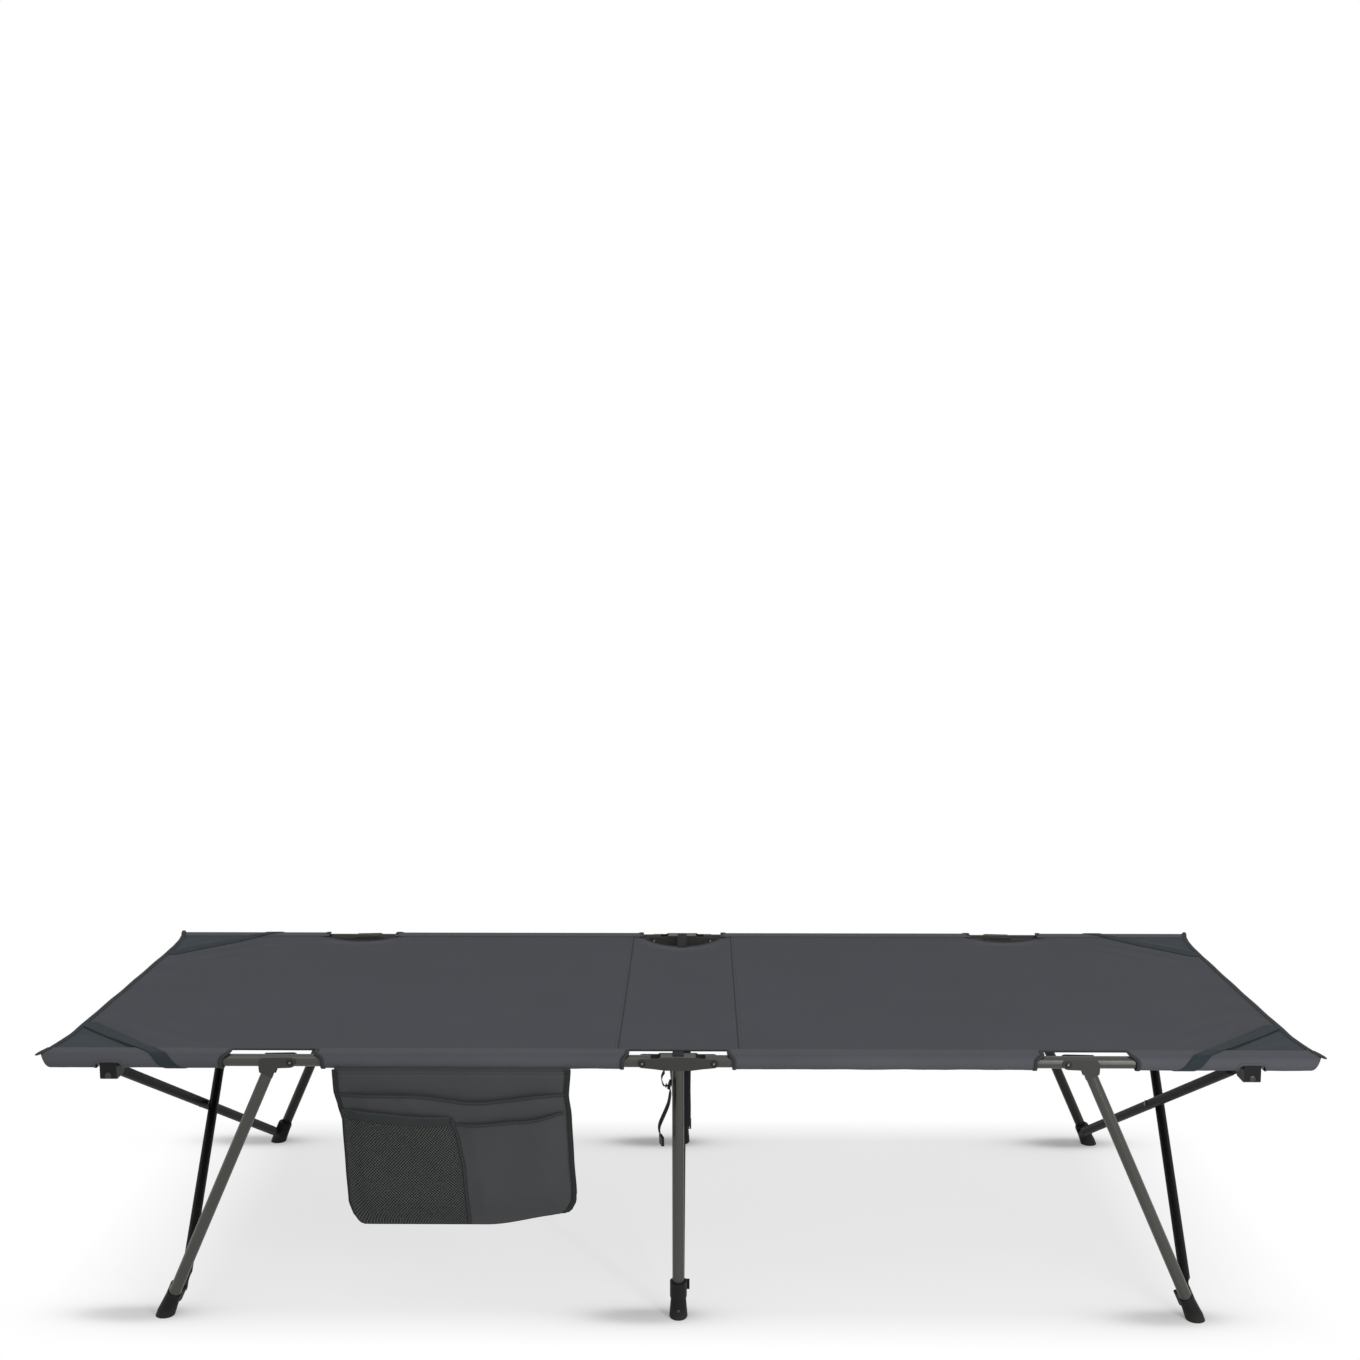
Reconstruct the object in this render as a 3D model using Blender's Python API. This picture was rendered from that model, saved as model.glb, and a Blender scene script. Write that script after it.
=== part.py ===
"""Folding camp cot: two jointed side rails, four fold-in end legs, two fixed centre legs,
crossed end struts, a folding centre brace, a sleeved fabric deck and a side organiser.
Metres, +Z up, origin on the floor under the middle. X runs along the cot and -Y is the organiser side."""
import math

import bmesh
import bpy
from mathutils import Matrix, Vector
from mathutils.geometry import tessellate_polygon

# Driving dimensions
RAIL_Y = 0.320
RAIL_Z = 0.400
TUBE_R = 0.009
HEAD_PIVOT_X = 0.053
LEG_PIVOT_X = 0.574
YOKE_DROP = 0.020
RAIL_END_X = 0.929
LEG_TILT = math.radians(23.8)
LEG_FOLD = math.radians(113.5)
LEG_OFFSET = 0.0256
INSET = 0.0281
LUG_Z = 0.0305
STRUT_R = 0.008
STRUT_SHIFT = 0.0086
SWIVEL_HALF = 0.0090
PLATE_GAP = 0.0003
PLATE_T = 0.0016
RIVET_R = 0.003
HOLE_R = 0.0034
BRACE_LOW_Z = 0.045
BRACE_HIGH_Z = RAIL_Z - 0.011
BAR_T = 0.004
BAR_H = 0.014
FABRIC_T = 0.0024
SLEEVE_IN = TUBE_R + 0.0004
SLEEVE_OUT = SLEEVE_IN + FABRIC_T
SEAM_X = 0.090
SLEEVE_END_X = 0.9327
CORNER_X = 0.950
DECK_END_X = 0.937
ROUND = 20

for old in list(bpy.data.objects):
    bpy.data.objects.remove(old, do_unlink=True)

# The foot lug, and the yoke that the end struts need so that the legs fold just as the sides meet
LEG_DIR = (math.sin(LEG_TILT), -math.cos(LEG_TILT))
LEG_SIDE = (math.cos(LEG_TILT), math.sin(LEG_TILT))
LUG_RUN = (LUG_Z - RAIL_Z - LEG_SIDE[1] * LEG_OFFSET) / LEG_DIR[1]
LUG_X = LEG_PIVOT_X + LEG_SIDE[0] * LEG_OFFSET + LEG_DIR[0] * LUG_RUN
ARM_L = math.hypot(LUG_X - LEG_PIVOT_X, LUG_Z - RAIL_Z)
SPAN = 2 * (RAIL_Y - INSET)
YOKE_RUN = 0.65 * ARM_L
for _ in range(40):
    PHI_OPEN = math.atan2(-YOKE_DROP, YOKE_RUN) - math.atan2(LUG_Z - RAIL_Z, LUG_X - LEG_PIVOT_X)
    PHI_FOLD = PHI_OPEN + LEG_FOLD
    ARM_A = SPAN ** 2 / (2 * ARM_L * (math.cos(PHI_OPEN) - math.cos(PHI_FOLD)))
    YOKE_RUN = math.sqrt(ARM_A ** 2 - YOKE_DROP ** 2)
YOKE_X = LEG_PIVOT_X + YOKE_RUN
STRUT_LEN = math.sqrt(ARM_A ** 2 + ARM_L ** 2 - 2 * ARM_A * ARM_L * math.cos(PHI_FOLD))
REACH = math.sqrt(ARM_A ** 2 + ARM_L ** 2 - 2 * ARM_A * ARM_L * math.cos(PHI_OPEN))
BAR_LEN = math.sqrt(ARM_A * ARM_L)
BAR_RISE = math.sqrt(BAR_LEN ** 2 - (SPAN / 2) ** 2)

SIDES = (("near", -1), ("far", 1))
ENDS = (("left", -1), ("right", 1))


def material(name, colour, rough, metal=0.0):
    mat = bpy.data.materials.new(name)
    mat.use_nodes = True
    shader = mat.node_tree.nodes["Principled BSDF"]
    shader.inputs["Base Color"].default_value = (*colour, 1.0)
    shader.inputs["Roughness"].default_value = rough
    shader.inputs["Metallic"].default_value = metal
    mat.diffuse_color = (*colour, 1.0)
    return mat


LOOKS = {
    "tube": ((0.075, 0.074, 0.066), 0.38, 0.9),
    "plate": ((0.20, 0.20, 0.185), 0.40, 0.9),
    "rivet": ((0.34, 0.34, 0.33), 0.30, 1.0),
    "strut": ((0.018, 0.018, 0.019), 0.45, 0.4),
    "plastic": ((0.016, 0.016, 0.017), 0.55, 0.0),
    "fabric": ((0.060, 0.068, 0.085), 0.85, 0.0),
    "webbing": ((0.030, 0.050, 0.062), 0.80, 0.0),
    "pocket": ((0.052, 0.052, 0.055), 0.85, 0.0),
}


def node(name, bm, look, origin=(0, 0, 0), smooth=True):
    """Turns a bmesh in world coordinates into a named object with its origin at a given point."""
    bmesh.ops.remove_doubles(bm, verts=bm.verts, dist=1e-6)
    bmesh.ops.recalc_face_normals(bm, faces=bm.faces)
    bmesh.ops.translate(bm, verts=bm.verts, vec=-Vector(origin))
    mesh = bpy.data.meshes.new(name)
    bm.to_mesh(mesh)
    bm.free()
    obj = bpy.data.objects.new(name, mesh)
    bpy.context.scene.collection.objects.link(obj)
    obj.location = origin
    colour, rough, metal = LOOKS[look]
    mesh.materials.append(material("mat_" + name, colour, rough, metal))
    if smooth:
        mesh.shade_smooth()
        mesh.set_sharp_from_angle(angle=math.radians(35))
    return obj


def combine(target, others, how):
    """Applies an exact Boolean of the other objects to the target and deletes them."""
    for other in others:
        mod = target.modifiers.new("bool", "BOOLEAN")
        mod.solver = "EXACT"
        mod.operation = how
        mod.object = other
        other.display_type = "WIRE"
        other.hide_render = True
    bpy.context.view_layer.update()
    graph = bpy.context.evaluated_depsgraph_get()
    baked = bpy.data.meshes.new_from_object(target.evaluated_get(graph))
    target.modifiers.clear()
    own = target.data.materials[0]
    target.data = baked
    baked.materials.clear()
    baked.materials.append(own)
    for face in baked.polygons:
        face.material_index = 0
    baked.shade_smooth()
    baked.set_sharp_from_angle(angle=math.radians(35))
    for other in others:
        bpy.data.objects.remove(other, do_unlink=True)
    return target


def frame_of(axis):
    """Two unit vectors square to an axis."""
    axis = Vector(axis).normalized()
    guide = Vector((0, 0, 1)) if abs(axis.z) < 0.9 else Vector((0, 1, 0))
    side = axis.cross(guide).normalized()
    return side, side.cross(axis).normalized()


def loft(bm, rings):
    """Skins a list of vertex rings and closes both ends."""
    made = [[bm.verts.new(p) for p in ring] for ring in rings]
    count = len(made[0])
    for low, high in zip(made, made[1:]):
        for i in range(count):
            j = (i + 1) % count
            bm.faces.new((low[i], low[j], high[j], high[i]))
    bm.faces.new(made[0])
    bm.faces.new(list(reversed(made[-1])))


def lathe(bm, start, axis, stations, count=ROUND):
    """A closed round solid from (distance along the axis, radius) stations."""
    axis = Vector(axis).normalized()
    side, up = frame_of(axis)
    rings = []
    for along, radius in stations:
        centre = Vector(start) + axis * along
        turn = [math.tau * k / count for k in range(count)]
        rings.append([centre + side * (radius * math.cos(t)) + up * (radius * math.sin(t)) for t in turn])
    loft(bm, rings)


def rod(bm, start, end, radius, ease=0.0, count=ROUND):
    """A capped cylinder between two points, with a small chamfer at each end."""
    length = (Vector(end) - Vector(start)).length
    stations = [(0, radius), (length, radius)]
    if ease:
        stations = [(0, radius - ease), (ease, radius), (length - ease, radius), (length, radius - ease)]
    lathe(bm, start, Vector(end) - Vector(start), stations, count)


def prism(bm, outline, holes, origin, across, up, depth, thick):
    """A flat plate from a 2-D outline with holes, drawn in the across and up directions."""
    origin, across, up, depth = Vector(origin), Vector(across), Vector(up), Vector(depth)
    loops = [outline] + list(holes)
    flat = [[Vector((p[0], p[1], 0)) for p in loop] for loop in loops]
    faces = tessellate_polygon(flat)
    points = [p for loop in loops for p in loop]
    low = [bm.verts.new(origin + across * p[0] + up * p[1]) for p in points]
    high = [bm.verts.new(origin + across * p[0] + up * p[1] + depth * thick) for p in points]
    for a, b, c in faces:
        bm.faces.new((low[a], low[b], low[c]))
        bm.faces.new((high[a], high[c], high[b]))
    first = 0
    for loop in loops:
        for i in range(len(loop)):
            j = (i + 1) % len(loop)
            bm.faces.new((low[first + i], low[first + j], high[first + j], high[first + i]))
        first += len(loop)


def circle(cx, cy, radius, count=16, start=0.0, sweep=math.tau):
    steps = count if sweep == math.tau else count + 1
    return [(cx + radius * math.cos(start + sweep * k / count),
             cy + radius * math.sin(start + sweep * k / count)) for k in range(steps)]


def slot(x0, x1, cy, radius, count=8):
    """The outline of a strip with round ends."""
    right = circle(x1, cy, radius, count, -math.pi / 2, math.pi)
    left = circle(x0, cy, radius, count, math.pi / 2, math.pi)
    return right + left


def tongue(x0, x1, cy, radius):
    """The outline of a lug with a square root and a round tip."""
    return circle(x1, cy, radius, 8, -math.pi / 2, math.pi) + [(x0, cy + radius), (x0, cy - radius)]


def box(bm, low, high):
    x0, y0, z0 = low
    x1, y1, z1 = high
    loft(bm, [[(x0, y0, z), (x1, y0, z), (x1, y1, z), (x0, y1, z)] for z in (z0, z1)])


def rivet(bm, at, axis, half, head=0.0052, rise=0.0014, gap=PLATE_GAP):
    """A domed rivet through plates whose outer faces lie a given half width from its middle."""
    reach = half + gap
    lathe(bm, at, axis, [
        (-reach - rise, head * 0.45), (-reach - rise * 0.6, head * 0.86), (-reach, head),
        (-reach + 0.00001, RIVET_R), (reach - 0.00001, RIVET_R),
        (reach, head), (reach + rise * 0.6, head * 0.86), (reach + rise, head * 0.45)], 12)


class Corner:
    """One corner of the frame: positions are given outboard, inboard from the rail plane and up."""

    def __init__(self, end_sign, side_sign):
        self.ex = end_sign
        self.sy = side_sign

    def at(self, out, inset, z):
        return Vector((self.ex * out, self.sy * (RAIL_Y - inset), z))

    def way(self, out, inset, z):
        return Vector((self.ex * out, -self.sy * inset, z))


# Centre legs, their heads, collars and feet
PLATE_Y = TUBE_R + PLATE_GAP
COLLAR_R = TUBE_R + 0.0038
for side, sy in SIDES:
    c = Corner(1, sy)
    base = c.at(0, 0, 0)
    bm = bmesh.new()
    rod(bm, c.at(0, 0, 0.005), c.at(0, 0, RAIL_Z + TUBE_R - 0.0015), TUBE_R, 0.0006)
    node(side + "_centre_leg_tube", bm, "tube", base)

    holes = [circle(x, 0, HOLE_R, 16) for x in (-HEAD_PIVOT_X, HEAD_PIVOT_X)]
    bm = bmesh.new()
    boat = circle(HEAD_PIVOT_X, 0, 0.0070, 8, -math.pi / 2, math.pi) + [(0.0300, 0.0070), (0.0270, 0.0088)]
    boat += [(-x, z) for x, z in reversed(boat)]
    boat += [(-0.0360, -0.0086), (-0.0200, -0.0108), (0.0200, -0.0108), (0.0360, -0.0086)]
    for start in (-PLATE_Y - PLATE_T, PLATE_Y):
        prism(bm, boat, holes, c.at(0, start, RAIL_Z), (1, 0, 0), (0, 0, 1), c.way(0, 1, 0), PLATE_T)
    head = node(side + "_head_bracket", bm, "plate", base)
    bm = bmesh.new()
    box(bm, c.at(-0.026, -PLATE_Y - 0.0008, RAIL_Z + TUBE_R - 0.0012), c.at(0.026, PLATE_Y + 0.0008, RAIL_Z + TUBE_R))
    web = node("web", bm, "plate")
    arm_x = {-1: -0.0170, 1: -0.0045}[sy]
    bm = bmesh.new()
    prism(bm, tongue(PLATE_Y + 0.0006, INSET, BRACE_HIGH_Z, 0.007),
          [circle(INSET, BRACE_HIGH_Z, HOLE_R, 12)], c.at(arm_x, 0, 0),
          c.way(0, 1, 0), (0, 0, 1), (1, 0, 0), 0.003)
    arm = node("arm", bm, "plate")
    combine(head, [web, arm], "UNION")

    for end, ex in ENDS:
        bm = bmesh.new()
        rivet(bm, c.at(ex * HEAD_PIVOT_X, 0, RAIL_Z), (0, 1, 0), PLATE_Y + PLATE_T)
        node(side + "_head_rivet_" + end, bm, "rivet", base)

    bm = bmesh.new()
    prism(bm, circle(0, 0, COLLAR_R, ROUND), [circle(0, 0, TUBE_R + PLATE_GAP, ROUND)],
          c.at(0, 0, BRACE_LOW_Z - 0.012), (1, 0, 0), (0, 1, 0), (0, 0, 1), 0.024)
    collar = node(side + "_leg_collar", bm, "plastic", base)
    arm_x = {-1: 0.0015, 1: 0.0140}[sy]
    bm = bmesh.new()
    prism(bm, tongue(COLLAR_R - 0.0016, INSET, BRACE_LOW_Z, 0.007), [circle(INSET, BRACE_LOW_Z, HOLE_R, 12)],
          c.at(arm_x, 0, 0), c.way(0, 1, 0), (0, 0, 1), (1, 0, 0), 0.003)
    arm = node("arm", bm, "plastic")
    bm = bmesh.new()
    box(bm, c.at(0.0020, COLLAR_R - 0.0023, BRACE_LOW_Z - 0.007), c.at(0.0168, COLLAR_R + 0.0032, BRACE_LOW_Z + 0.007))
    root_block = node("block", bm, "plastic")
    combine(collar, [root_block, arm], "UNION")

    bm = bmesh.new()
    lathe(bm, c.at(0, 0, 0), (0, 0, 1), [(z, TUBE_R + wall) for z, wall in (
        (0, 0.0038), (0.002, 0.0048), (0.010, 0.0042), (0.030, 0.0026), (0.0325, 0.0022))])
    foot = node(side + "_centre_foot", bm, "plastic", base)
    bm = bmesh.new()
    rod(bm, c.at(0, 0, 0.0046), c.at(0, 0, 0.05), TUBE_R + PLATE_GAP)
    combine(foot, [node("cut", bm, "plastic")], "DIFFERENCE")

# Centre brace: a low pair that folds knee up and a high pair that folds knee down
LOW_KNEE = BRACE_LOW_Z + BAR_RISE
HIGH_KNEE = BRACE_HIGH_Z - BAR_RISE
BARS = (("low_near_brace", -1, BRACE_LOW_Z, LOW_KNEE, 0.0050), ("low_far_brace", 1, BRACE_LOW_Z, LOW_KNEE, 0.0095),
        ("high_near_brace", -1, BRACE_HIGH_Z, HIGH_KNEE, -0.0135),
        ("high_far_brace", 1, BRACE_HIGH_Z, HIGH_KNEE, -0.0090))
for name, sy, z_pivot, z_knee, x in BARS:
    pivot = Vector((x, sy * SPAN / 2, z_pivot))
    along = (Vector((x, 0, z_knee)) - pivot).normalized()
    up = Vector((1, 0, 0)).cross(along)
    bm = bmesh.new()
    prism(bm, slot(0, BAR_LEN, 0, BAR_H / 2),
          [circle(0, 0, HOLE_R, 12), circle(BAR_LEN, 0, HOLE_R, 12)], pivot, along, up, (1, 0, 0), BAR_T)
    origin = (0, sy * SPAN / 2, z_pivot)
    if name == "low_far_brace":
        origin = (0, 0, z_knee)
    bar = node(name, bm, "strut", origin)
    if sy < 0:
        # The knee rivet is staked into the near bar and turns in the far one
        bm = bmesh.new()
        lathe(bm, (x - 0.0012, 0, z_knee), (1, 0, 0), [
            (0, 0.0034), (0.0013, 0.0050), (0.00131, RIVET_R + 0.0008), (0.0030, RIVET_R + 0.0008),
            (0.0031, RIVET_R), (0.0100, RIVET_R), (0.01001, 0.0050), (0.0110, 0.0034)], 16)
        rivet_part = node("rivet", bm, "strut")
        rivet_part.data.transform(Matrix.Translation(-Vector(origin)))
        rivet_part.location = origin
        combine(bar, [rivet_part], "UNION")

# Side rails with a strut yoke under each outer end
for side, sy in SIDES:
    for end, ex in ENDS:
        c = Corner(ex, sy)
        tag = side + "_" + end
        hinge = c.at(HEAD_PIVOT_X, 0, RAIL_Z)
        bm = bmesh.new()
        rod(bm, c.at(0.0405, 0, RAIL_Z), c.at(RAIL_END_X, 0, RAIL_Z), TUBE_R, 0.0008)
        rail = node(tag + "_rail_tube", bm, "tube", hinge)
        cuts = []
        for x in (HEAD_PIVOT_X, LEG_PIVOT_X):
            bm = bmesh.new()
            lathe(bm, c.at(x, -0.03, RAIL_Z), c.way(0, 1, 0), [(0, HOLE_R), (0.06, HOLE_R)], 16)
            cuts.append(node("cut", bm, "tube"))
        combine(rail, cuts, "DIFFERENCE")

        wall = TUBE_R + PLATE_GAP
        bottom = -YOKE_DROP - 0.0060
        inner = INSET - SWIVEL_HALF - PLATE_GAP
        cheek = TUBE_R + 0.0032
        shape = [(-cheek, -0.0005), (-cheek, bottom + 0.002), (-cheek + 0.002, bottom), (inner - 0.002, bottom),
                 (inner, bottom + 0.002), (inner, -TUBE_R - 0.0025), (inner - 0.0017, -TUBE_R - 0.0008),
                 (cheek, -TUBE_R - 0.0008), (cheek, -0.0005)]
        cradle = [(wall * math.cos(t), wall * math.sin(t)) for t in
                  [-math.pi * k / 12 for k in range(13)]]
        shape += [(wall, -0.0005)] + cradle[1:-1] + [(-wall, -0.0005)]
        bm = bmesh.new()
        prism(bm, shape, [], c.at(YOKE_X - 0.0125, 0, RAIL_Z), c.way(0, 1, 0), (0, 0, 1),
              c.way(1, 0, 0), 0.025)
        yoke = node(tag + "_strut_yoke", bm, "plastic", hinge)
        bm = bmesh.new()
        pin_z = RAIL_Z - YOKE_DROP
        lathe(bm, c.at(YOKE_X, -0.03, pin_z), c.way(0, 1, 0), [(0, HOLE_R), (0.06, HOLE_R)], 16)
        combine(yoke, [node("cut", bm, "plastic")], "DIFFERENCE")

# End legs with their brackets, pivot rivets and lugged feet
for side, sy in SIDES:
    for end, ex in ENDS:
        c = Corner(ex, sy)
        tag = side + "_" + end
        hinge = c.at(LEG_PIVOT_X, 0, RAIL_Z)
        down = c.way(LEG_DIR[0], 0, LEG_DIR[1])
        out = c.way(LEG_SIDE[0], 0, LEG_SIDE[1])
        inward = c.way(0, 1, 0)

        def on_leg(along, off=0.0, inset=0.0):
            return hinge + out * (LEG_OFFSET + off) + down * along + inward * inset

        top = (0.0135 + LEG_SIDE[1] * LEG_OFFSET) / -LEG_DIR[1]
        sole = (RAIL_Z + LEG_SIDE[1] * LEG_OFFSET) / -LEG_DIR[1]
        lug = LUG_RUN

        bm = bmesh.new()
        rod(bm, on_leg(top), on_leg(sole - 0.0105), TUBE_R, 0.0006)
        leg = node(tag + "_leg_tube", bm, "tube", hinge)

        collar_low = top + 0.0065
        shape = circle(0, 0, 0.0080, 8, math.pi / 2, math.pi) + [(0.0190, -0.0088), (0.0222, -0.0120)]
        shape += [tuple(LEG_SIDE[k] * (LEG_OFFSET + off) + LEG_DIR[k] * collar_low for k in (0, 1))
                  for off in (-0.0105, 0.0105)]
        shape += [(0.0470, -0.0080), (0.0462, 0.0020), (0.0420, 0.0072)]
        bm = bmesh.new()
        for start in (-PLATE_Y - PLATE_T, PLATE_Y):
            prism(bm, shape, [circle(0, 0, HOLE_R, 16)], hinge + inward * start,
                  c.way(1, 0, 0), (0, 0, 1), inward, PLATE_T)
        bracket = node(tag + "_leg_bracket", bm, "plate", hinge)
        bm = bmesh.new()
        low = on_leg(top + 0.0005, TUBE_R + 0.0005, -PLATE_Y - 0.0008)
        wide = inward * (2 * PLATE_Y + 0.0016)
        corners = [low, low + wide, low + wide + down * 0.0055, low + down * 0.0055]
        loft(bm, [corners, [p + out * 0.0010 for p in corners]])
        combine(bracket, [node("web", bm, "plate")], "UNION")

        bm = bmesh.new()
        rivet(bm, hinge, (0, 1, 0), PLATE_Y + PLATE_T)
        node(tag + "_leg_rivet", bm, "rivet", hinge)

        bm = bmesh.new()
        lathe(bm, on_leg(sole + 0.010), -down, [(run, TUBE_R + wall) for run, wall in (
            (0, 0.0040), (0.014, 0.0047), (0.030, 0.0032), (0.044, 0.0022), (0.0475, 0.0020), (0.0484, 0.0014))])
        cut = bmesh.ops.bisect_plane(bm, geom=bm.verts[:] + bm.edges[:] + bm.faces[:], plane_co=(0, 0, 0),
                                     plane_no=(0, 0, -1), clear_outer=True)
        rim = [e for e in cut["geom_cut"] if isinstance(e, bmesh.types.BMEdge)]
        bmesh.ops.contextual_create(bm, geom=rim)
        foot = node(tag + "_foot", bm, "plastic", hinge)
        bm = bmesh.new()
        tip = INSET - 0.0094
        shape = [(-0.0090, 0.0), (0.0090, 0.0), (0.0125, 0.0110), (0.0125, tip - 0.0015), (0.0110, tip),
                 (-0.0110, tip), (-0.0125, tip - 0.0015), (-0.0125, 0.0110)]
        prism(bm, shape, [], on_leg(lug - 0.0105), -out, inward, down, 0.021)
        ear = node("ear", bm, "plastic")
        combine(foot, [ear], "UNION")
        bm = bmesh.new()
        rod(bm, on_leg(sole - 0.1), on_leg(sole - 0.0100), TUBE_R + PLATE_GAP)
        combine(foot, [node("cut", bm, "plastic")], "DIFFERENCE")

# Rail-end swivels and the crossed end struts
for end, ex in ENDS:
    for side, sy in SIDES:
        c = Corner(ex, sy)
        tag = side + "_" + end
        eye = c.at(YOKE_X, INSET, RAIL_Z - YOKE_DROP)
        toward = c.way(LUG_X - YOKE_X, 0, LUG_Z - RAIL_Z + YOKE_DROP).normalized()
        normal = Vector((-toward.z * ex, 0, toward.x * ex)).normalized()
        # The two struts of an end pass on opposite sides, and the two ends are turned, not mirrored
        shift = normal * (ex * sy)
        inward = c.way(0, 1, 0)

        bm = bmesh.new()
        span = SWIVEL_HALF
        face = STRUT_SHIFT - 0.0025 - 0.0004
        low = eye - shift * 0.0062 - toward * 0.0075 - inward * span
        corners = [low, low + toward * 0.015, low + toward * 0.015 + inward * 2 * span, low + inward * 2 * span]
        loft(bm, [corners, [p + shift * (0.0062 + face) for p in corners]])
        swivel = node(tag + "_strut_swivel", bm, "rivet", eye)
        bm = bmesh.new()
        lathe(bm, c.at(YOKE_X, -TUBE_R - 0.0032 - PLATE_GAP - 0.0016, RAIL_Z - YOKE_DROP), inward, [
            (0, 0.0030), (0.0006, 0.0046), (0.0016, 0.0052), (0.00161, RIVET_R),
            (INSET + TUBE_R + 0.0030, RIVET_R)], 16)
        pin = node("pin", bm, "rivet")
        bm = bmesh.new()
        lathe(bm, eye, shift, [(-0.003, RIVET_R), (STRUT_SHIFT + 0.0029, RIVET_R), (STRUT_SHIFT + 0.00291, 0.0052),
                               (STRUT_SHIFT + 0.0039, 0.0046), (STRUT_SHIFT + 0.0045, 0.0024)], 16)
        stub = node("stub", bm, "rivet")
        combine(swivel, [pin, stub], "UNION")

        far_eye = Vector((ex * LUG_X, -sy * SPAN / 2, LUG_Z))
        axis = (far_eye - eye).normalized()
        wide = shift.cross(axis).normalized()
        length = (far_eye - eye).length
        taper = [(-0.0084, 0.0030, 0.0020), (-0.0072, 0.0055, 0.0025), (-0.0045, 0.0078, 0.0025),
                 (0.0, 0.0088, 0.0025), (0.0100, 0.0088, 0.0025), (0.0150, 0.0087, 0.0036),
                 (0.0230, 0.0081, 0.0078), (0.0260, STRUT_R, STRUT_R)]
        stations = taper + [(length - s, a, b) for s, a, b in reversed(taper)]
        rings = []
        for s, a, b in stations:
            mid = eye + shift * STRUT_SHIFT + axis * s
            rings.append([mid + wide * (a * math.cos(math.tau * k / 20)) + shift * (b * math.sin(math.tau * k / 20))
                          for k in range(20)])
        bm = bmesh.new()
        loft(bm, rings)
        strut = node(tag + "_end_strut", bm, "strut", eye)
        bm = bmesh.new()
        lathe(bm, eye, shift, [(-0.02, HOLE_R), (0.03, HOLE_R)], 12)
        cuts = [node("cut", bm, "strut")]
        mid_point = eye + axis * (length / 2)
        if sy < 0:
            bm = bmesh.new()
            lathe(bm, mid_point, shift, [(0.0004, HOLE_R), (0.03, HOLE_R)], 12)
            cuts.append(node("cut", bm, "strut"))
        combine(strut, cuts, "DIFFERENCE")
        if sy < 0:
            bm = bmesh.new()
            lathe(bm, mid_point, shift, [(0.0009, RIVET_R), (STRUT_SHIFT + STRUT_R + 0.0002, RIVET_R),
                                         (STRUT_SHIFT + STRUT_R + 0.00021, 0.0052),
                                         (STRUT_SHIFT + STRUT_R + 0.0011, 0.0046),
                                         (STRUT_SHIFT + STRUT_R + 0.0017, 0.0024)], 16)
            node(end + "_crossing_rivet", bm, "rivet", eye)

# Fabric deck in three panels, sleeved over the rails and cut away at the joints
DECK_TOP = RAIL_Z + SLEEVE_OUT
DECK_LOW = DECK_TOP - FABRIC_T
CURVE_Y = RAIL_Y - 0.085


def sleeve_section():
    dip = math.asin((DECK_LOW - RAIL_Z) / SLEEVE_OUT)
    near = circle(-RAIL_Y, RAIL_Z, SLEEVE_OUT, 26, math.pi / 2, math.pi * 1.5 + dip)
    far = [(-y, z) for y, z in reversed(near)]
    holes = [circle(s * RAIL_Y, RAIL_Z, SLEEVE_IN, ROUND) for s in (-1, 1)]
    return near + far, holes


def plan_cut(points, z0, z1):
    bm = bmesh.new()
    prism(bm, points, [], (0, 0, z0), (1, 0, 0), (0, 1, 0), (0, 0, 1), z1 - z0)
    return node("cut", bm, "fabric")


def bay(x0, x1, sy):
    """The plan outline of a sleeve cut-out with rounded inner corners."""
    lip = RAIL_Y - 0.0165
    ease = 0.006
    pts = [(x0 - 0.006, RAIL_Y + 0.03), (x0, lip + ease), (x0 + 0.002, lip + 0.002), (x0 + ease, lip),
           (x1 - ease, lip), (x1 - 0.002, lip + 0.002), (x1, lip + ease), (x1 + 0.006, RAIL_Y + 0.03)]
    return [(x, sy * y) for x, y in pts]


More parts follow.
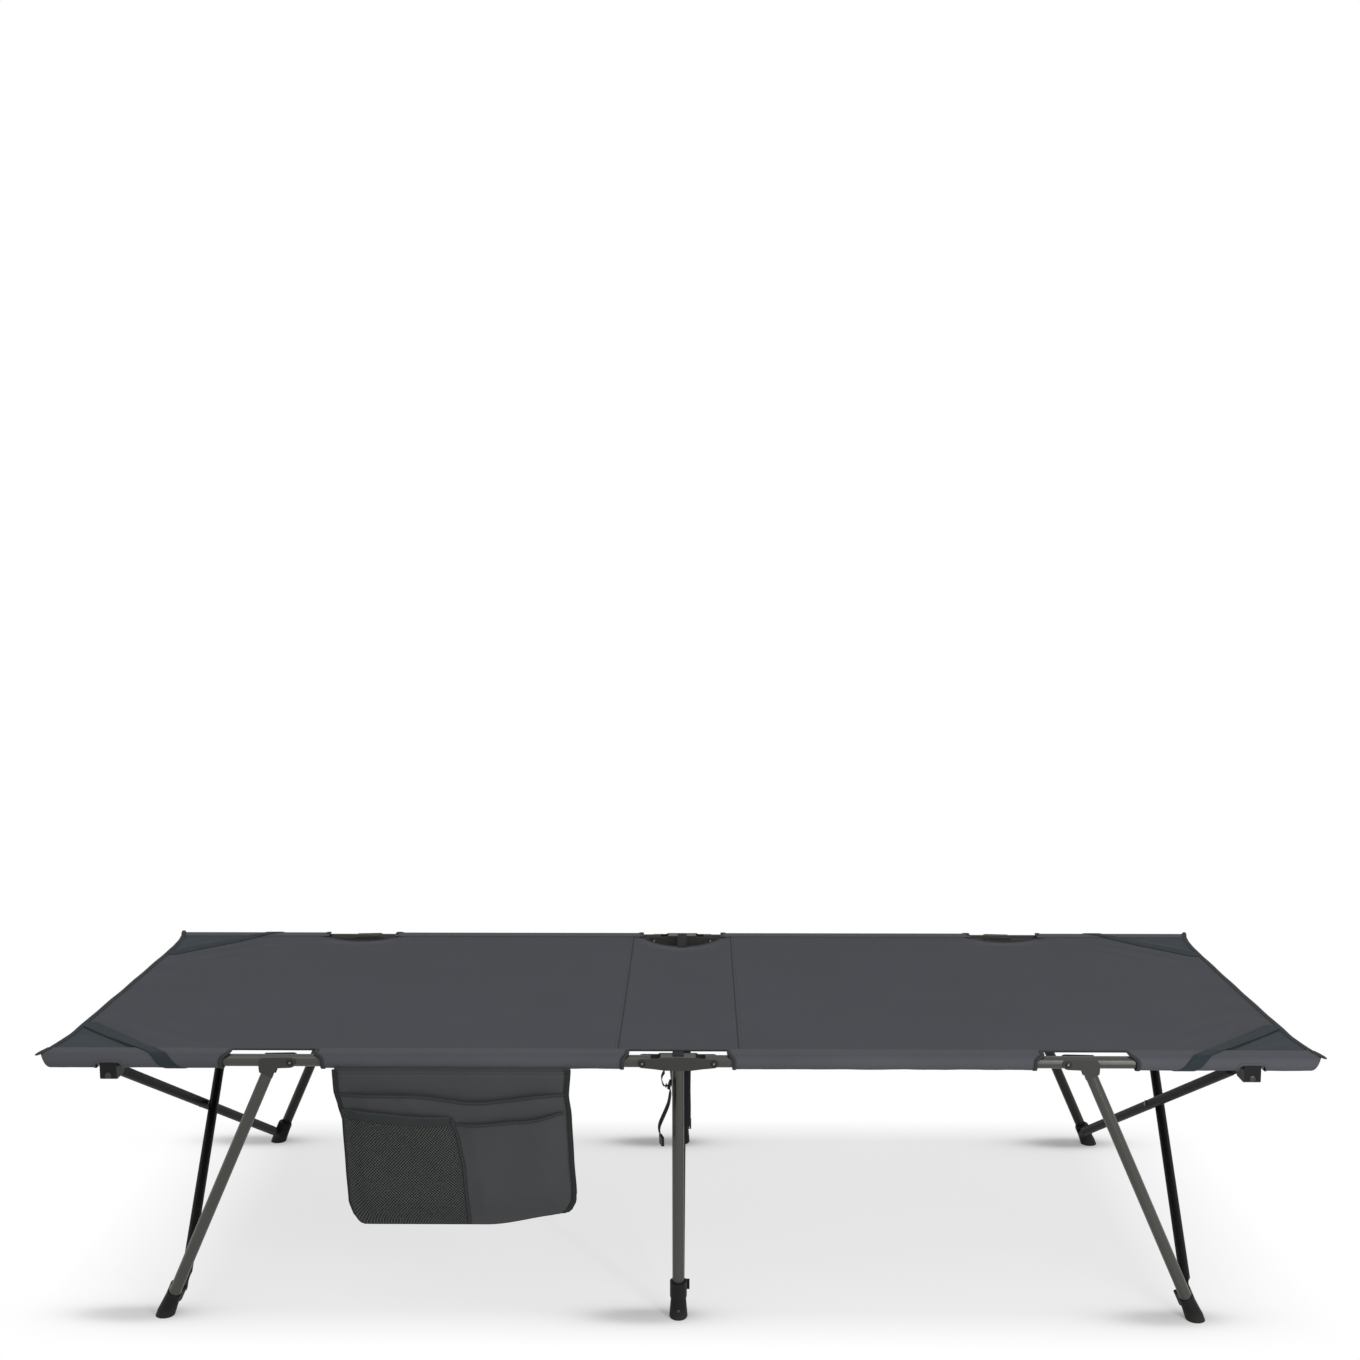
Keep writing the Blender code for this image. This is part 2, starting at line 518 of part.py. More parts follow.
outline, rings = sleeve_section()
PANELS = (("left_deck_panel", -CORNER_X, -SEAM_X - 0.0003), ("centre_deck_panel", -SEAM_X + 0.0003, SEAM_X - 0.0003),
          ("right_deck_panel", SEAM_X + 0.0003, CORNER_X))
for name, x0, x1 in PANELS:
    bm = bmesh.new()
    prism(bm, outline, rings, (x0, 0, 0), (0, 1, 0), (0, 0, 1), (1, 0, 0), x1 - x0)
    origin = {"l": (-HEAD_PIVOT_X, -RAIL_Y, RAIL_Z), "c": (0, -RAIL_Y, 0), "r": (HEAD_PIVOT_X, -RAIL_Y, RAIL_Z)}[name[0]]
    panel = node(name, bm, "fabric", origin)
    cuts = []
    for sy in (-1, 1):
        if name[0] == "c":
            cuts.append(plan_cut(bay(-HEAD_PIVOT_X - 0.023, HEAD_PIVOT_X + 0.023, sy), RAIL_Z - 0.1, RAIL_Z + 0.1))
            continue
        ex = -1 if name[0] == "l" else 1
        cuts.append(plan_cut([(ex * x, y) for x, y in bay(LEG_PIVOT_X - 0.041, LEG_PIVOT_X + 0.094, sy)],
                             RAIL_Z - 0.1, RAIL_Z + 0.1))
        bm = bmesh.new()
        box(bm, (ex * (YOKE_X - 0.020), sy * (RAIL_Y - 0.03), RAIL_Z - 0.04),
            (ex * (YOKE_X + 0.020), sy * (RAIL_Y + 0.03), RAIL_Z + 0.0003))
        cuts.append(node("cut", bm, "fabric"))
        bm = bmesh.new()
        box(bm, (ex * SLEEVE_END_X, sy * (RAIL_Y - 0.03), RAIL_Z - 0.04),
            (ex * (CORNER_X + 0.05), sy * (RAIL_Y + 0.03), DECK_LOW - 0.0004))
        cuts.append(node("cut", bm, "fabric"))
    if name[0] != "c":
        edge = []
        for k in range(25):
            y = (RAIL_Y + 0.04) * (k / 12 - 1)
            pull = max(0.0, min(1.0, (abs(y) - CURVE_Y) / (RAIL_Y + SLEEVE_OUT - CURVE_Y)))
            edge.append((ex * (DECK_END_X + (CORNER_X - 0.0004 - DECK_END_X) * pull ** 1.6), y))
        edge += [(ex * (CORNER_X + 0.05), RAIL_Y + 0.04), (ex * (CORNER_X + 0.05), -RAIL_Y - 0.04)]
        cuts.append(plan_cut(edge, RAIL_Z - 0.04, RAIL_Z + 0.05))
    combine(panel, cuts, "DIFFERENCE")

# Corner straps: webbing run slantwise across each corner and around under the sleeve
STRAP_T = 0.0010
STRAP_HALF = 0.018
STRAP_TOP_X = DECK_END_X - 0.006
STRAP_TOP_Y = RAIL_Y - 0.135
STRAP_RAIL_X = DECK_END_X - 0.185
for end, ex in ENDS:
    for side, sy in SIDES:
        bm = bmesh.new()
        path = [((STRAP_TOP_X, STRAP_TOP_Y), DECK_TOP, 90), ((STRAP_RAIL_X, RAIL_Y), DECK_TOP, 90)]
        path += [((STRAP_RAIL_X - 0.001, RAIL_Y), None, 90 - 22.5 * k) for k in range(1, 9)]
        rings = []
        for (x, y), z, deg in path:
            t = math.radians(deg)
            inner = SLEEVE_OUT + 0.0004
            if z is None:
                low = (RAIL_Y + inner * math.cos(t), RAIL_Z + inner * math.sin(t))
            else:
                low = (y, z + 0.0004)
            high = (low[0] + STRAP_T * math.cos(t), low[1] + STRAP_T * math.sin(t))
            rings.append([Vector((ex * (x + d), sy * p[0], p[1]))
                          for d, p in ((-STRAP_HALF, low), (STRAP_HALF, low), (STRAP_HALF, high), (-STRAP_HALF, high))])
        loft(bm, rings)
        node(side + "_" + end + "_corner_strap", bm, "webbing", (ex * HEAD_PIVOT_X, -RAIL_Y, RAIL_Z))

# Side organiser: one wide pocket with two smaller ones on its front, open at the top
ORG_X0 = -0.505
ORG_X1 = -0.150
ORG_TOP = RAIL_Z + 0.003
ORG_H = 0.243
ORG_Y = -RAIL_Y - SLEEVE_OUT - 0.0004
WALL = 0.0014
DEEP = 0.0085


def sack(x0, x1, z0, z1, y_back, y_front):
    """A rounded panel block standing in the XZ plane."""
    bm = bmesh.new()
    r = 0.022
    pts = [(x0, z1), (x0, z0 + r)]
    pts += [(x0 + r - r * math.cos(math.pi * k / 10), z0 + r - r * math.sin(math.pi * k / 10)) for k in range(1, 5)]
    pts += [(x0 + r, z0), (x1 - r, z0)]
    pts += [(x1 - r + r * math.sin(math.pi * k / 10), z0 + r - r * math.cos(math.pi * k / 10)) for k in range(1, 5)]
    pts += [(x1, z0 + r), (x1, z1)]
    prism(bm, pts, [], (0, y_front, 0), (1, 0, 0), (0, 0, 1), (0, 1, 0), y_back - y_front)
    return node("sack", bm, "pocket")


z_low = ORG_TOP - ORG_H
front_1 = ORG_Y - WALL - DEEP - WALL
front_2 = front_1 - DEEP - WALL
z_wide = ORG_TOP - 0.053
z_small = ORG_TOP - 0.082
org = sack(ORG_X0, ORG_X1, z_low, ORG_TOP, ORG_Y, ORG_Y - WALL)
org.name = "side_organiser"
org.data.materials[0].name = "mat_side_organiser"
grow = [sack(ORG_X0, ORG_X1, z_low, z_wide, ORG_Y - WALL * 0.5, front_1),
        sack(ORG_X0 + 0.001, ORG_X1 - 0.001, z_low + 0.0004, z_small, front_1 + WALL * 0.5, front_2)]
combine(org, grow, "UNION")
split = ORG_X0 + 0.186
hollow = [sack(ORG_X0 + WALL, ORG_X1 - WALL, z_low + WALL, z_wide + 0.03, ORG_Y - WALL, front_1 + WALL),
          sack(ORG_X0 + WALL + 0.001, split - WALL / 2, z_low + WALL + 0.0004, z_small + 0.03, front_1, front_2 + WALL),
          sack(split + WALL / 2, ORG_X1 - WALL - 0.001, z_low + WALL + 0.0004, z_small + 0.03, front_1, front_2 + WALL)]
combine(org, hollow, "DIFFERENCE")
hinge = Vector((-HEAD_PIVOT_X, -RAIL_Y, RAIL_Z))
for vert in org.data.vertices:
    vert.co = vert.co - hinge
org.location = hinge

# Pack strap: a short webbing tail that hangs beside the near centre leg
path = [(-0.0185, RAIL_Z - TUBE_R - 0.0022), (-0.0185, RAIL_Z - 0.040), (-0.0215, RAIL_Z - 0.070), (-0.0250, RAIL_Z - 0.098),
        (-0.0225, RAIL_Z - 0.122), (-0.0195, RAIL_Z - 0.140)]
bm = bmesh.new()
rings = []
for k, (x, z) in enumerate(path):
    a = Vector(path[max(k - 1, 0)])
    b = Vector(path[min(k + 1, len(path) - 1)])
    run = (b - a).normalized()
    side = Vector((-run.y, run.x)) * 0.0008
    rings.append([Vector((x + side.x * s, -RAIL_Y - TUBE_R - 0.0035 + w, z + side.y * s)) for s, w in
                  ((-1, -0.0075), (1, -0.0075), (1, 0.0075), (-1, 0.0075))])
loft(bm, rings)
node("pack_strap", bm, "webbing", (0, -RAIL_Y, 0))

# Its other end hangs straight down behind the leg from the underside of the deck
bm = bmesh.new()
rings = []
for x, drop in ((0.0122, RAIL_Z - DECK_LOW + 0.0003), (0.0124, 0.015), (0.0120, 0.050), (0.0124, 0.080), (0.0120, 0.108)):
    rings.append([Vector((x + w, -RAIL_Y + TUBE_R + 0.0096 + d, RAIL_Z - drop)) for w, d in
                  ((-0.0065, -0.0005), (0.0065, -0.0005), (0.0065, 0.0005), (-0.0065, 0.0005))])
loft(bm, rings)
node("pack_strap_end", bm, "webbing", (0, -RAIL_Y, 0))

for mat in list(bpy.data.materials):
    if mat.users == 0:
        bpy.data.materials.remove(mat)
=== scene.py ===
"""Folding camp cot, dressed piece by piece in the order it is put together. Metres, +Z up, -Y is the organiser side."""
import math
from functools import partial

import bmesh
import bpy
from mathutils import Matrix, Vector, noise


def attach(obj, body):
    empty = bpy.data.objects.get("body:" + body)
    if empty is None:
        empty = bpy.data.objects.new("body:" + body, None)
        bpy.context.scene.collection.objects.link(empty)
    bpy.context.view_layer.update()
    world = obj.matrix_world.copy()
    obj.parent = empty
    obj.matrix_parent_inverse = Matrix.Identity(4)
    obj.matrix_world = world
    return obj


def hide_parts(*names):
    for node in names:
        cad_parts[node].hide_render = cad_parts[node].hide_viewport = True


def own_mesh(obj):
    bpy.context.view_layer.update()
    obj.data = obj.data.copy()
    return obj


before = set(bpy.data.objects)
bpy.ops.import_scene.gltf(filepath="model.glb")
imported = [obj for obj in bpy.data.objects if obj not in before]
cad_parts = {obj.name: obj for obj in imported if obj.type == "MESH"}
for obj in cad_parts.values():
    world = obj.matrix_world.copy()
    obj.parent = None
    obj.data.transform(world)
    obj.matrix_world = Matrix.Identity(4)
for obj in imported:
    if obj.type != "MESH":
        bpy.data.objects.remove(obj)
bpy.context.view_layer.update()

# ----------------------------------------------------------
# Camera: a long lens a little over a metre up, in front of the organiser side, turned a touch
# to the left. Its place was fitted to the feet, rivets and fabric corners.
CAMERA_AT = Vector((0.0282, -2.5311, 1.2269))
PITCH, YAW, ROLL = math.radians(6.665), math.radians(0.639), math.radians(-0.069)
level = Vector((-math.sin(YAW), math.cos(YAW), 0))
side_on = Vector((math.cos(YAW), math.sin(YAW), 0))
ahead = level * math.cos(PITCH) - Vector((0, 0, 1)) * math.sin(PITCH)
upright = side_on.cross(ahead)
right = side_on * math.cos(ROLL) + upright * math.sin(ROLL)
up = upright * math.cos(ROLL) - side_on * math.sin(ROLL)
lens = bpy.data.cameras.new("camera")
lens.sensor_width = 36.0
lens.lens = 36.0 * 1547.2 / 1360
camera = bpy.data.objects.new("camera", lens)
bpy.context.scene.collection.objects.link(camera)
camera.matrix_world = Matrix((
    (right.x, up.x, -ahead.x, CAMERA_AT.x), (right.y, up.y, -ahead.y, CAMERA_AT.y),
    (right.z, up.z, -ahead.z, CAMERA_AT.z), (0, 0, 0, 1)))
bpy.context.scene.camera = camera
bpy.context.scene.view_settings.view_transform = "Standard"


# ----------------------------------------------------------
# Floor and light: a plain pale studio floor that fades to white, with a painted shadow smeared to the left of
# each foot, a large soft light above, a key light and a thin strip from the front right and a weak fill from the left.
class Socket:
    """A value on its way through a finish. Arithmetic on it adds the Math nodes."""

    def __init__(self, finish, plug):
        self.finish = finish
        self.plug = plug

    def _math(self, operation, *values):
        return self.finish.add("ShaderNodeMath", {"operation": operation}, dict(enumerate(values)))

    def __add__(self, other):
        return self._math("ADD", self, other)

    def __radd__(self, other):
        return self._math("ADD", other, self)

    def __sub__(self, other):
        return self._math("SUBTRACT", self, other)

    def __rsub__(self, other):
        return self._math("SUBTRACT", other, self)

    def __mul__(self, other):
        return self._math("MULTIPLY", self, other)

    def __rmul__(self, other):
        return self._math("MULTIPLY", other, self)

    def __truediv__(self, other):
        return self._math("DIVIDE", self, other)

    def __rtruediv__(self, other):
        return self._math("DIVIDE", other, self)

    def __pow__(self, other):
        return self._math("POWER", self, other)

    def __abs__(self):
        return self._math("ABSOLUTE", self)

    def sin(self):
        return self._math("SINE", self)

    def fract(self):
        return self._math("FRACT", self)

    def clip(self):
        return self.finish.add("ShaderNodeMath", {"operation": "ADD", "use_clamp": True}, {0: self, 1: 0.0})

    def below(self, edge, soft):
        """1 where the value is under an edge, 0 over it, with a soft change between."""
        return ((edge - self) / soft + 0.5).clip()


class Finish:
    """One material, or the world, being made: every node comes from add."""

    def __init__(self, name, owner=None):
        self.mat = owner or bpy.data.materials.new(name)
        self.mat.use_nodes = True
        self.tree = self.mat.node_tree
        self.tree.nodes.clear()

    def add(self, kind, settings=None, inputs=None, out=0):
        made = self.tree.nodes.new(kind)
        for key, value in (settings or {}).items():
            if key == "stops":
                ramp = made.color_ramp.elements
                while len(ramp) < len(value):
                    ramp.new(0.5)
                for stop, (at, colour) in zip(ramp, value):
                    stop.position = at
                    stop.color = (*colour, 1.0)
            else:
                setattr(made, key, value)
        for key, value in (inputs or {}).items():
            if isinstance(value, Socket):
                self.tree.links.new(value.plug, made.inputs[key])
            elif isinstance(value, tuple) and len(value) == 3 and made.inputs[key].type == "RGBA":
                made.inputs[key].default_value = (*value, 1.0)
            else:
                made.inputs[key].default_value = value
        return Socket(self, made.outputs[out])

    def place(self, source="Object"):
        return self.add("ShaderNodeTexCoord", out=source)

    def axes(self, vector):
        cut = self.add("ShaderNodeSeparateXYZ", None, {0: vector})
        return [Socket(self, cut.plug.node.outputs[k]) for k in range(3)]

    def grain(self, vector, scale, detail=2.0, rough=0.5):
        return self.add("ShaderNodeTexNoise", None,
                        {"Vector": vector, "Scale": scale, "Detail": detail, "Roughness": rough})

    def tint(self, share, first, second):
        """A colour between two, by a share from 0 to 1."""
        return self.add("ShaderNodeMix", {"data_type": "RGBA"}, {0: share, 6: first, 7: second}, out=2)

    def bump(self, height, strength, distance):
        return self.add("ShaderNodeBump", None, {"Height": height, "Strength": strength, "Distance": distance})

    def shade(self, **sockets):
        """The Principled shader with these sockets, wired to the output."""
        names = {key.replace("_", " ").title().replace("Ior", "IOR"): value for key, value in sockets.items()}
        return self.add_output(self.add("ShaderNodeBsdfPrincipled", None, names))

    def add_output(self, surface, kind="ShaderNodeOutputMaterial"):
        out = self.tree.nodes.new(kind)
        self.tree.links.new(surface.plug, out.inputs[0])
        return self.mat


def deselect():
    for thing in bpy.context.selected_objects:
        thing.select_set(False)
    bpy.context.view_layer.objects.active = None


deselect()
bpy.ops.mesh.primitive_plane_add(size=14.0, location=(0, 0, 0))
floor = bpy.context.object
floor.name = "studio_floor"
paper = Finish("studio_floor")
along, back, _ = paper.axes(paper.place())
patch = abs(along).below(0.86, 0.26) * abs(back - 0.01).below(0.365, 0.10)
# Painted shadow: a soft dark smear to the left of each foot, where less white is mixed in and more of the shaded floor
# shows. It stays at the feet's rest places.
painted_foot_shadow = 0.0
for foot_y in (-0.32, 0.32):
    for foot_x in (-0.80, -0.02, 0.77):
        spread = ((along - (foot_x - 0.03)) / 0.085) ** 2 + ((back - foot_y) / 0.024) ** 2
        painted_foot_shadow = painted_foot_shadow + 1 / (1 + spread * spread)
lit = paper.add("ShaderNodeBsdfDiffuse", None, {"Color": (0.78, 0.78, 0.78)})
white = paper.add("ShaderNodeEmission", None, {"Color": (1.0, 1.0, 1.0), "Strength": 1.0})
ray = paper.add("ShaderNodeLightPath")
seen = Socket(paper, ray.plug.node.outputs["Is Camera Ray"])
mirrored = Socket(paper, ray.plug.node.outputs["Is Glossy Ray"])
faded = (1 - (patch * 0.30 + painted_foot_shadow * 0.58).clip()) * (seen + mirrored).clip()
floor.data.materials.append(paper.add_output(paper.add("ShaderNodeMixShader", None, {0: faded, 1: lit, 2: white})))

bpy.context.scene.world = bpy.data.worlds.new("studio")
sky = Finish("studio", bpy.context.scene.world)
ray = sky.add("ShaderNodeLightPath")
shown = sum((Socket(sky, ray.plug.node.outputs[k]) for k in
             ("Is Camera Ray", "Is Glossy Ray", "Is Transmission Ray")), 0.0).clip()
air = sky.add("ShaderNodeBackground", None, {"Color": (1.0, 1.0, 1.0), "Strength": 0.50 + 0.50 * shown})
sky.add_output(air, "ShaderNodeOutputWorld")

for name, at, aim, wide, tall, power in (
        ("top_light", (-1.2, -1.1, 2.8), (-0.3, 0.0, 0.3), 2.6, 1.6, 15.0),
        ("key_light", (1.9, -2.6, 1.5), (0.2, 0.0, 0.25), 0.9, 1.2, 22.0),
        ("strip_light", (1.15, -1.9, 0.8), (0.0, -0.3, 0.25), 0.08, 1.5, 11.0),
        ("fill_light", (-2.6, -2.4, 1.2), (0.0, 0.0, 0.3), 1.2, 1.2, 2.5)):
    lamp = bpy.data.lights.new(name, "AREA")
    lamp.shape = "RECTANGLE"
    lamp.size, lamp.size_y, lamp.energy = wide, tall, power
    light = bpy.data.objects.new(name, lamp)
    bpy.context.scene.collection.objects.link(light)
    light.location = at
    light.rotation_euler = (Vector(aim) - Vector(at)).to_track_quat("-Z", "Y").to_euler()

# ----------------------------------------------------------
# Tubes: 18 mm steel tube for the rails, the four end legs and the two centre legs, in a satin
# gunmetal powder coat with a fine orange-peel surface and a little dust and rubbing.
SIDES = (("near", -1), ("far", 1))
ENDS = (("left", -1), ("right", 1))
RAIL_Y, RAIL_Z = 0.320, 0.400


def powder_coat(name, deep, worn, rough, metal, speck=1.0, shine=0.5):
    """Satin powder coat: fine speckle, cloudy tone, light rubbed flecks."""
    coat = Finish(name)
    where = coat.place()
    fine = coat.grain(where, 1400.0, 1.0)
    cloud = coat.grain(where, 9.0, 3.0)
    rub = coat.grain(where, 240.0, 4.0, 0.65)
    flecks = (rub - 0.68).clip() * 6.0
    tone = (cloud * 0.55 + fine * 0.35 * speck).clip()
    colour = coat.tint(tone, deep, tuple(c * 1.35 for c in deep))
    colour = coat.tint(flecks.clip() * 0.35, colour, worn)
    return coat.shade(base_color=colour, metallic=metal, roughness=rough + (cloud - 0.5) * 0.12 + fine * 0.05,
                      normal=coat.bump(fine, 0.10 * speck, 0.0002), coat_weight=0.06, coat_roughness=0.35,
                      specular_ior_level=shine)


def dress(name, finish):
    """Gives a CAD node its finish in every material slot."""
    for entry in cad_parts[name].material_slots:
        entry.material = finish


tube_coat = powder_coat("gunmetal_tube_coat", (0.050, 0.050, 0.045), (0.16, 0.16, 0.145), 0.33, 0.60)
# The far side gets a darker copy of the same coat: painted shade for the far tubes under the bed.
far_shade_coat = powder_coat("far_shade_gunmetal_tube_coat", (0.018, 0.018, 0.016), (0.10, 0.10, 0.09), 0.40, 0.40, 1.0, 0.25)
for side, coat in (("near", tube_coat), ("far", far_shade_coat)):
    dress(side + "_centre_leg_tube", coat)
    for end, _ in ENDS:
        dress(f"{side}_{end}_rail_tube", coat)
        dress(f"{side}_{end}_leg_tube", coat)


# ----------------------------------------------------------
# Rail plugs: a moulded plastic cap closes the outer end of each rail so that its edge can't
# chafe the sleeve. It is a low dome with a flange, pushed into the tube.
def moulded_plastic(name, shade, rough=0.5, grit=700.0):
    """Black moulded plastic: spark-eroded grain, faint flow clouds, dust in the low places."""
    resin = Finish(name)
    where = resin.place()
    grit_noise = resin.grain(where, grit, 3.0, 0.6)
    cloud = resin.grain(where, 22.0, 2.0)
    dust = resin.grain(where, 90.0, 4.0, 0.7)
    colour = resin.tint((cloud * 0.7).clip(), shade, tuple(c * 1.6 for c in shade))
    colour = resin.tint(((dust - 0.62).clip() * 0.8).clip(), colour, (0.07, 0.07, 0.066))
    return resin.shade(base_color=colour, roughness=rough + (grit_noise - 0.5) * 0.18,
                       normal=resin.bump(grit_noise, 0.22, 0.0002), specular_ior_level=0.16)


black_plastic = moulded_plastic("black_moulded_plastic", (0.0062, 0.0062, 0.0066))


def settle(obj, finish, body, slot_name):
    """Puts a modelled piece's place into its mesh, smooths it, and gives it its finish and body."""
    deselect()
    obj.select_set(True)
    bpy.context.view_layer.objects.active = obj
    bpy.ops.object.transform_apply(location=True, rotation=True, scale=True)
    bpy.ops.object.shade_smooth_by_angle(angle=math.radians(35))
    obj.data.materials.clear()
    obj.data.materials.append(finish)
    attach(obj, body)
    deselect()
    return obj


def turned(name, sides, rings, centre, axis):
    """A turned solid: a cylinder's end face is extruded and scaled from ring to ring, as (distance, radius)."""
    deselect()
    bpy.ops.mesh.primitive_circle_add(vertices=sides, radius=rings[0][1], fill_type="NGON", location=(0, 0, 0))
    obj = bpy.context.object
    obj.name = name
    bpy.ops.object.mode_set(mode="EDIT")
    bpy.ops.mesh.select_all(action="SELECT")
    for (low, small), (high, large) in zip(rings, rings[1:]):
        bpy.ops.mesh.extrude_region_move(TRANSFORM_OT_translate={"value": (0, 0, high - low)})
        grow = large / small
        bpy.ops.transform.resize(value=(grow, grow, 1), center_override=(0, 0, high))
    bpy.ops.mesh.select_all(action="SELECT")
    bpy.ops.mesh.normals_make_consistent(inside=False)
    bpy.ops.object.mode_set(mode="OBJECT")
    obj.rotation_euler = Vector(axis).to_track_quat("Z", "Y").to_euler()
    obj.location = centre
    return obj


RAIL_END_X = 0.9291
for side, sy in SIDES:
    for end, ex in ENDS:
        plug = turned(f"{side}_{end}_rail_plug", 24,
                      [(0, 0.0078), (0.0002, 0.0090), (0.0012, 0.0094), (0.0022, 0.0088), (0.0030, 0.0066),
                       (0.0033, 0.0030)], (ex * RAIL_END_X, sy * RAIL_Y, RAIL_Z), (ex, 0, 0))
        settle(plug, black_plastic, f"{side}_{end}_rail", f"{side}_{end}_strut_yoke")

# ----------------------------------------------------------
# Brackets: pressed steel cheek plates at the middle and at each leg head, in the same coat as
# the tubes but a little paler, rubbed along the edges where the joints work.
plate_coat = powder_coat("bracket_coat", (0.030, 0.030, 0.027), (0.15, 0.15, 0.14), 0.42, 0.35, 0.8, 0.35)
# The far brackets take the far tubes' darker copy of the coat: painted shade.
for side, coat in (("near", plate_coat), ("far", far_shade_coat)):
    dress(side + "_head_bracket", coat)
    for end, _ in ENDS:
        dress(f"{side}_{end}_leg_bracket", coat)


# ----------------------------------------------------------
# Rivets: zinc-plated steel heads, coloured with a dark ring round a small paler centre dot. They pin
# the rails and legs between the cheek plates.
def set_rivet(name, centre):
    """Plated steel with rings turned round the rivet's own axis, which runs along Y."""
    steel = Finish(name)
    moved = steel.add("ShaderNodeMapping", {"vector_type": "POINT"},
                      {"Vector": steel.place(), "Location": tuple(-c for c in centre)})
    x, _, z = steel.axes(moved)
    radius = (x * x + z * z) ** 0.5
    centre_dot = radius.below(0.0015, 0.0004)
    ring = radius.below(0.0052, 0.0006) * (1 - centre_dot)
    scratch = steel.grain(moved, 2600.0, 2.0)
    colour = steel.tint(ring * 0.9, (0.11, 0.11, 0.10), (0.012, 0.012, 0.012))
    colour = steel.tint(centre_dot * 0.8, colour, (0.24, 0.24, 0.225))
    return steel.shade(base_color=colour, metallic=0.8, roughness=0.34 + scratch * 0.16,
                       normal=steel.bump(scratch, 0.15, 0.0001))


HINGE_X, LEG_PIVOT_X = 0.053, 0.574
for side, sy in SIDES:
    for end, ex in ENDS:
        for rivet, x in ((f"{side}_head_rivet_{end}", HINGE_X), (f"{side}_{end}_leg_rivet", LEG_PIVOT_X)):
            dress(rivet, set_rivet(rivet, (ex * x, sy * RAIL_Y, RAIL_Z)))

# ----------------------------------------------------------
# Struts and braces: thinner tube and flat bar in satin black. Each end strut is pinched flat at
# its ends and turns on a swivel; the two bars of each centre brace share a knee rivet.
strut_coat = powder_coat("black_strut_coat", (0.0070, 0.0070, 0.0066), (0.05, 0.05, 0.046), 0.55, 0.0, 1.0, 0.08)
swivel_zinc = powder_coat("swivel_zinc", (0.040, 0.040, 0.038), (0.22, 0.22, 0.21), 0.36, 0.8, 0.6)
for name in ("low_near_brace", "low_far_brace", "high_near_brace", "high_far_brace"):
    dress(name, strut_coat)
for end, _ in ENDS:
    dress(end + "_crossing_rivet", swivel_zinc)
    for side, _ in SIDES:
        dress(f"{side}_{end}_end_strut", strut_coat)
        dress(f"{side}_{end}_strut_swivel", swivel_zinc)

# ----------------------------------------------------------
# Plastic mouldings: strut yokes snapped under the rails, the sliding collars of the centre
# legs, and flared feet pushed over the tubes. The soles are greyed by the ground.
foot_plastic = Finish("black_foot_plastic")
where = foot_plastic.place()
height = foot_plastic.axes(where)[2]
grit_noise = foot_plastic.grain(where, 620.0, 3.0, 0.6)
smear = foot_plastic.grain(where, 60.0, 4.0, 0.7)
scuff = height.below(0.010, 0.016) * (smear * 1.3)
foot_colour = foot_plastic.tint((scuff * 0.36).clip(), (0.0062, 0.0062, 0.0060), (0.070, 0.068, 0.062))
foot_plastic = foot_plastic.shade(base_color=foot_colour, roughness=0.52 + scuff * 0.2 + (grit_noise - 0.5) * 0.15,
                                  normal=foot_plastic.bump(grit_noise, 0.22, 0.0002), specular_ior_level=0.16)
for side, _ in SIDES:
    dress(side + "_leg_collar", black_plastic)
    dress(side + "_centre_foot", foot_plastic)
    for end, _ in ENDS:
        dress(f"{side}_{end}_strut_yoke", black_plastic)
        dress(f"{side}_{end}_foot", foot_plastic)

# A small pan-head rivet through the centre foot keeps it on the leg.
for side, sy in SIDES:
    pin = turned(side + "_foot_pin", 16, [(0, 0.0024), (0.0004, 0.0026), (0.0009, 0.0020), (0.0011, 0.0009)],
                 (0, sy * (RAIL_Y + 0.0129), 0.0150), (0, sy, 0))
    settle(pin, swivel_zinc, "centre_frame" if sy < 0 else "far_centre_frame", side + "_head_rivet_left")


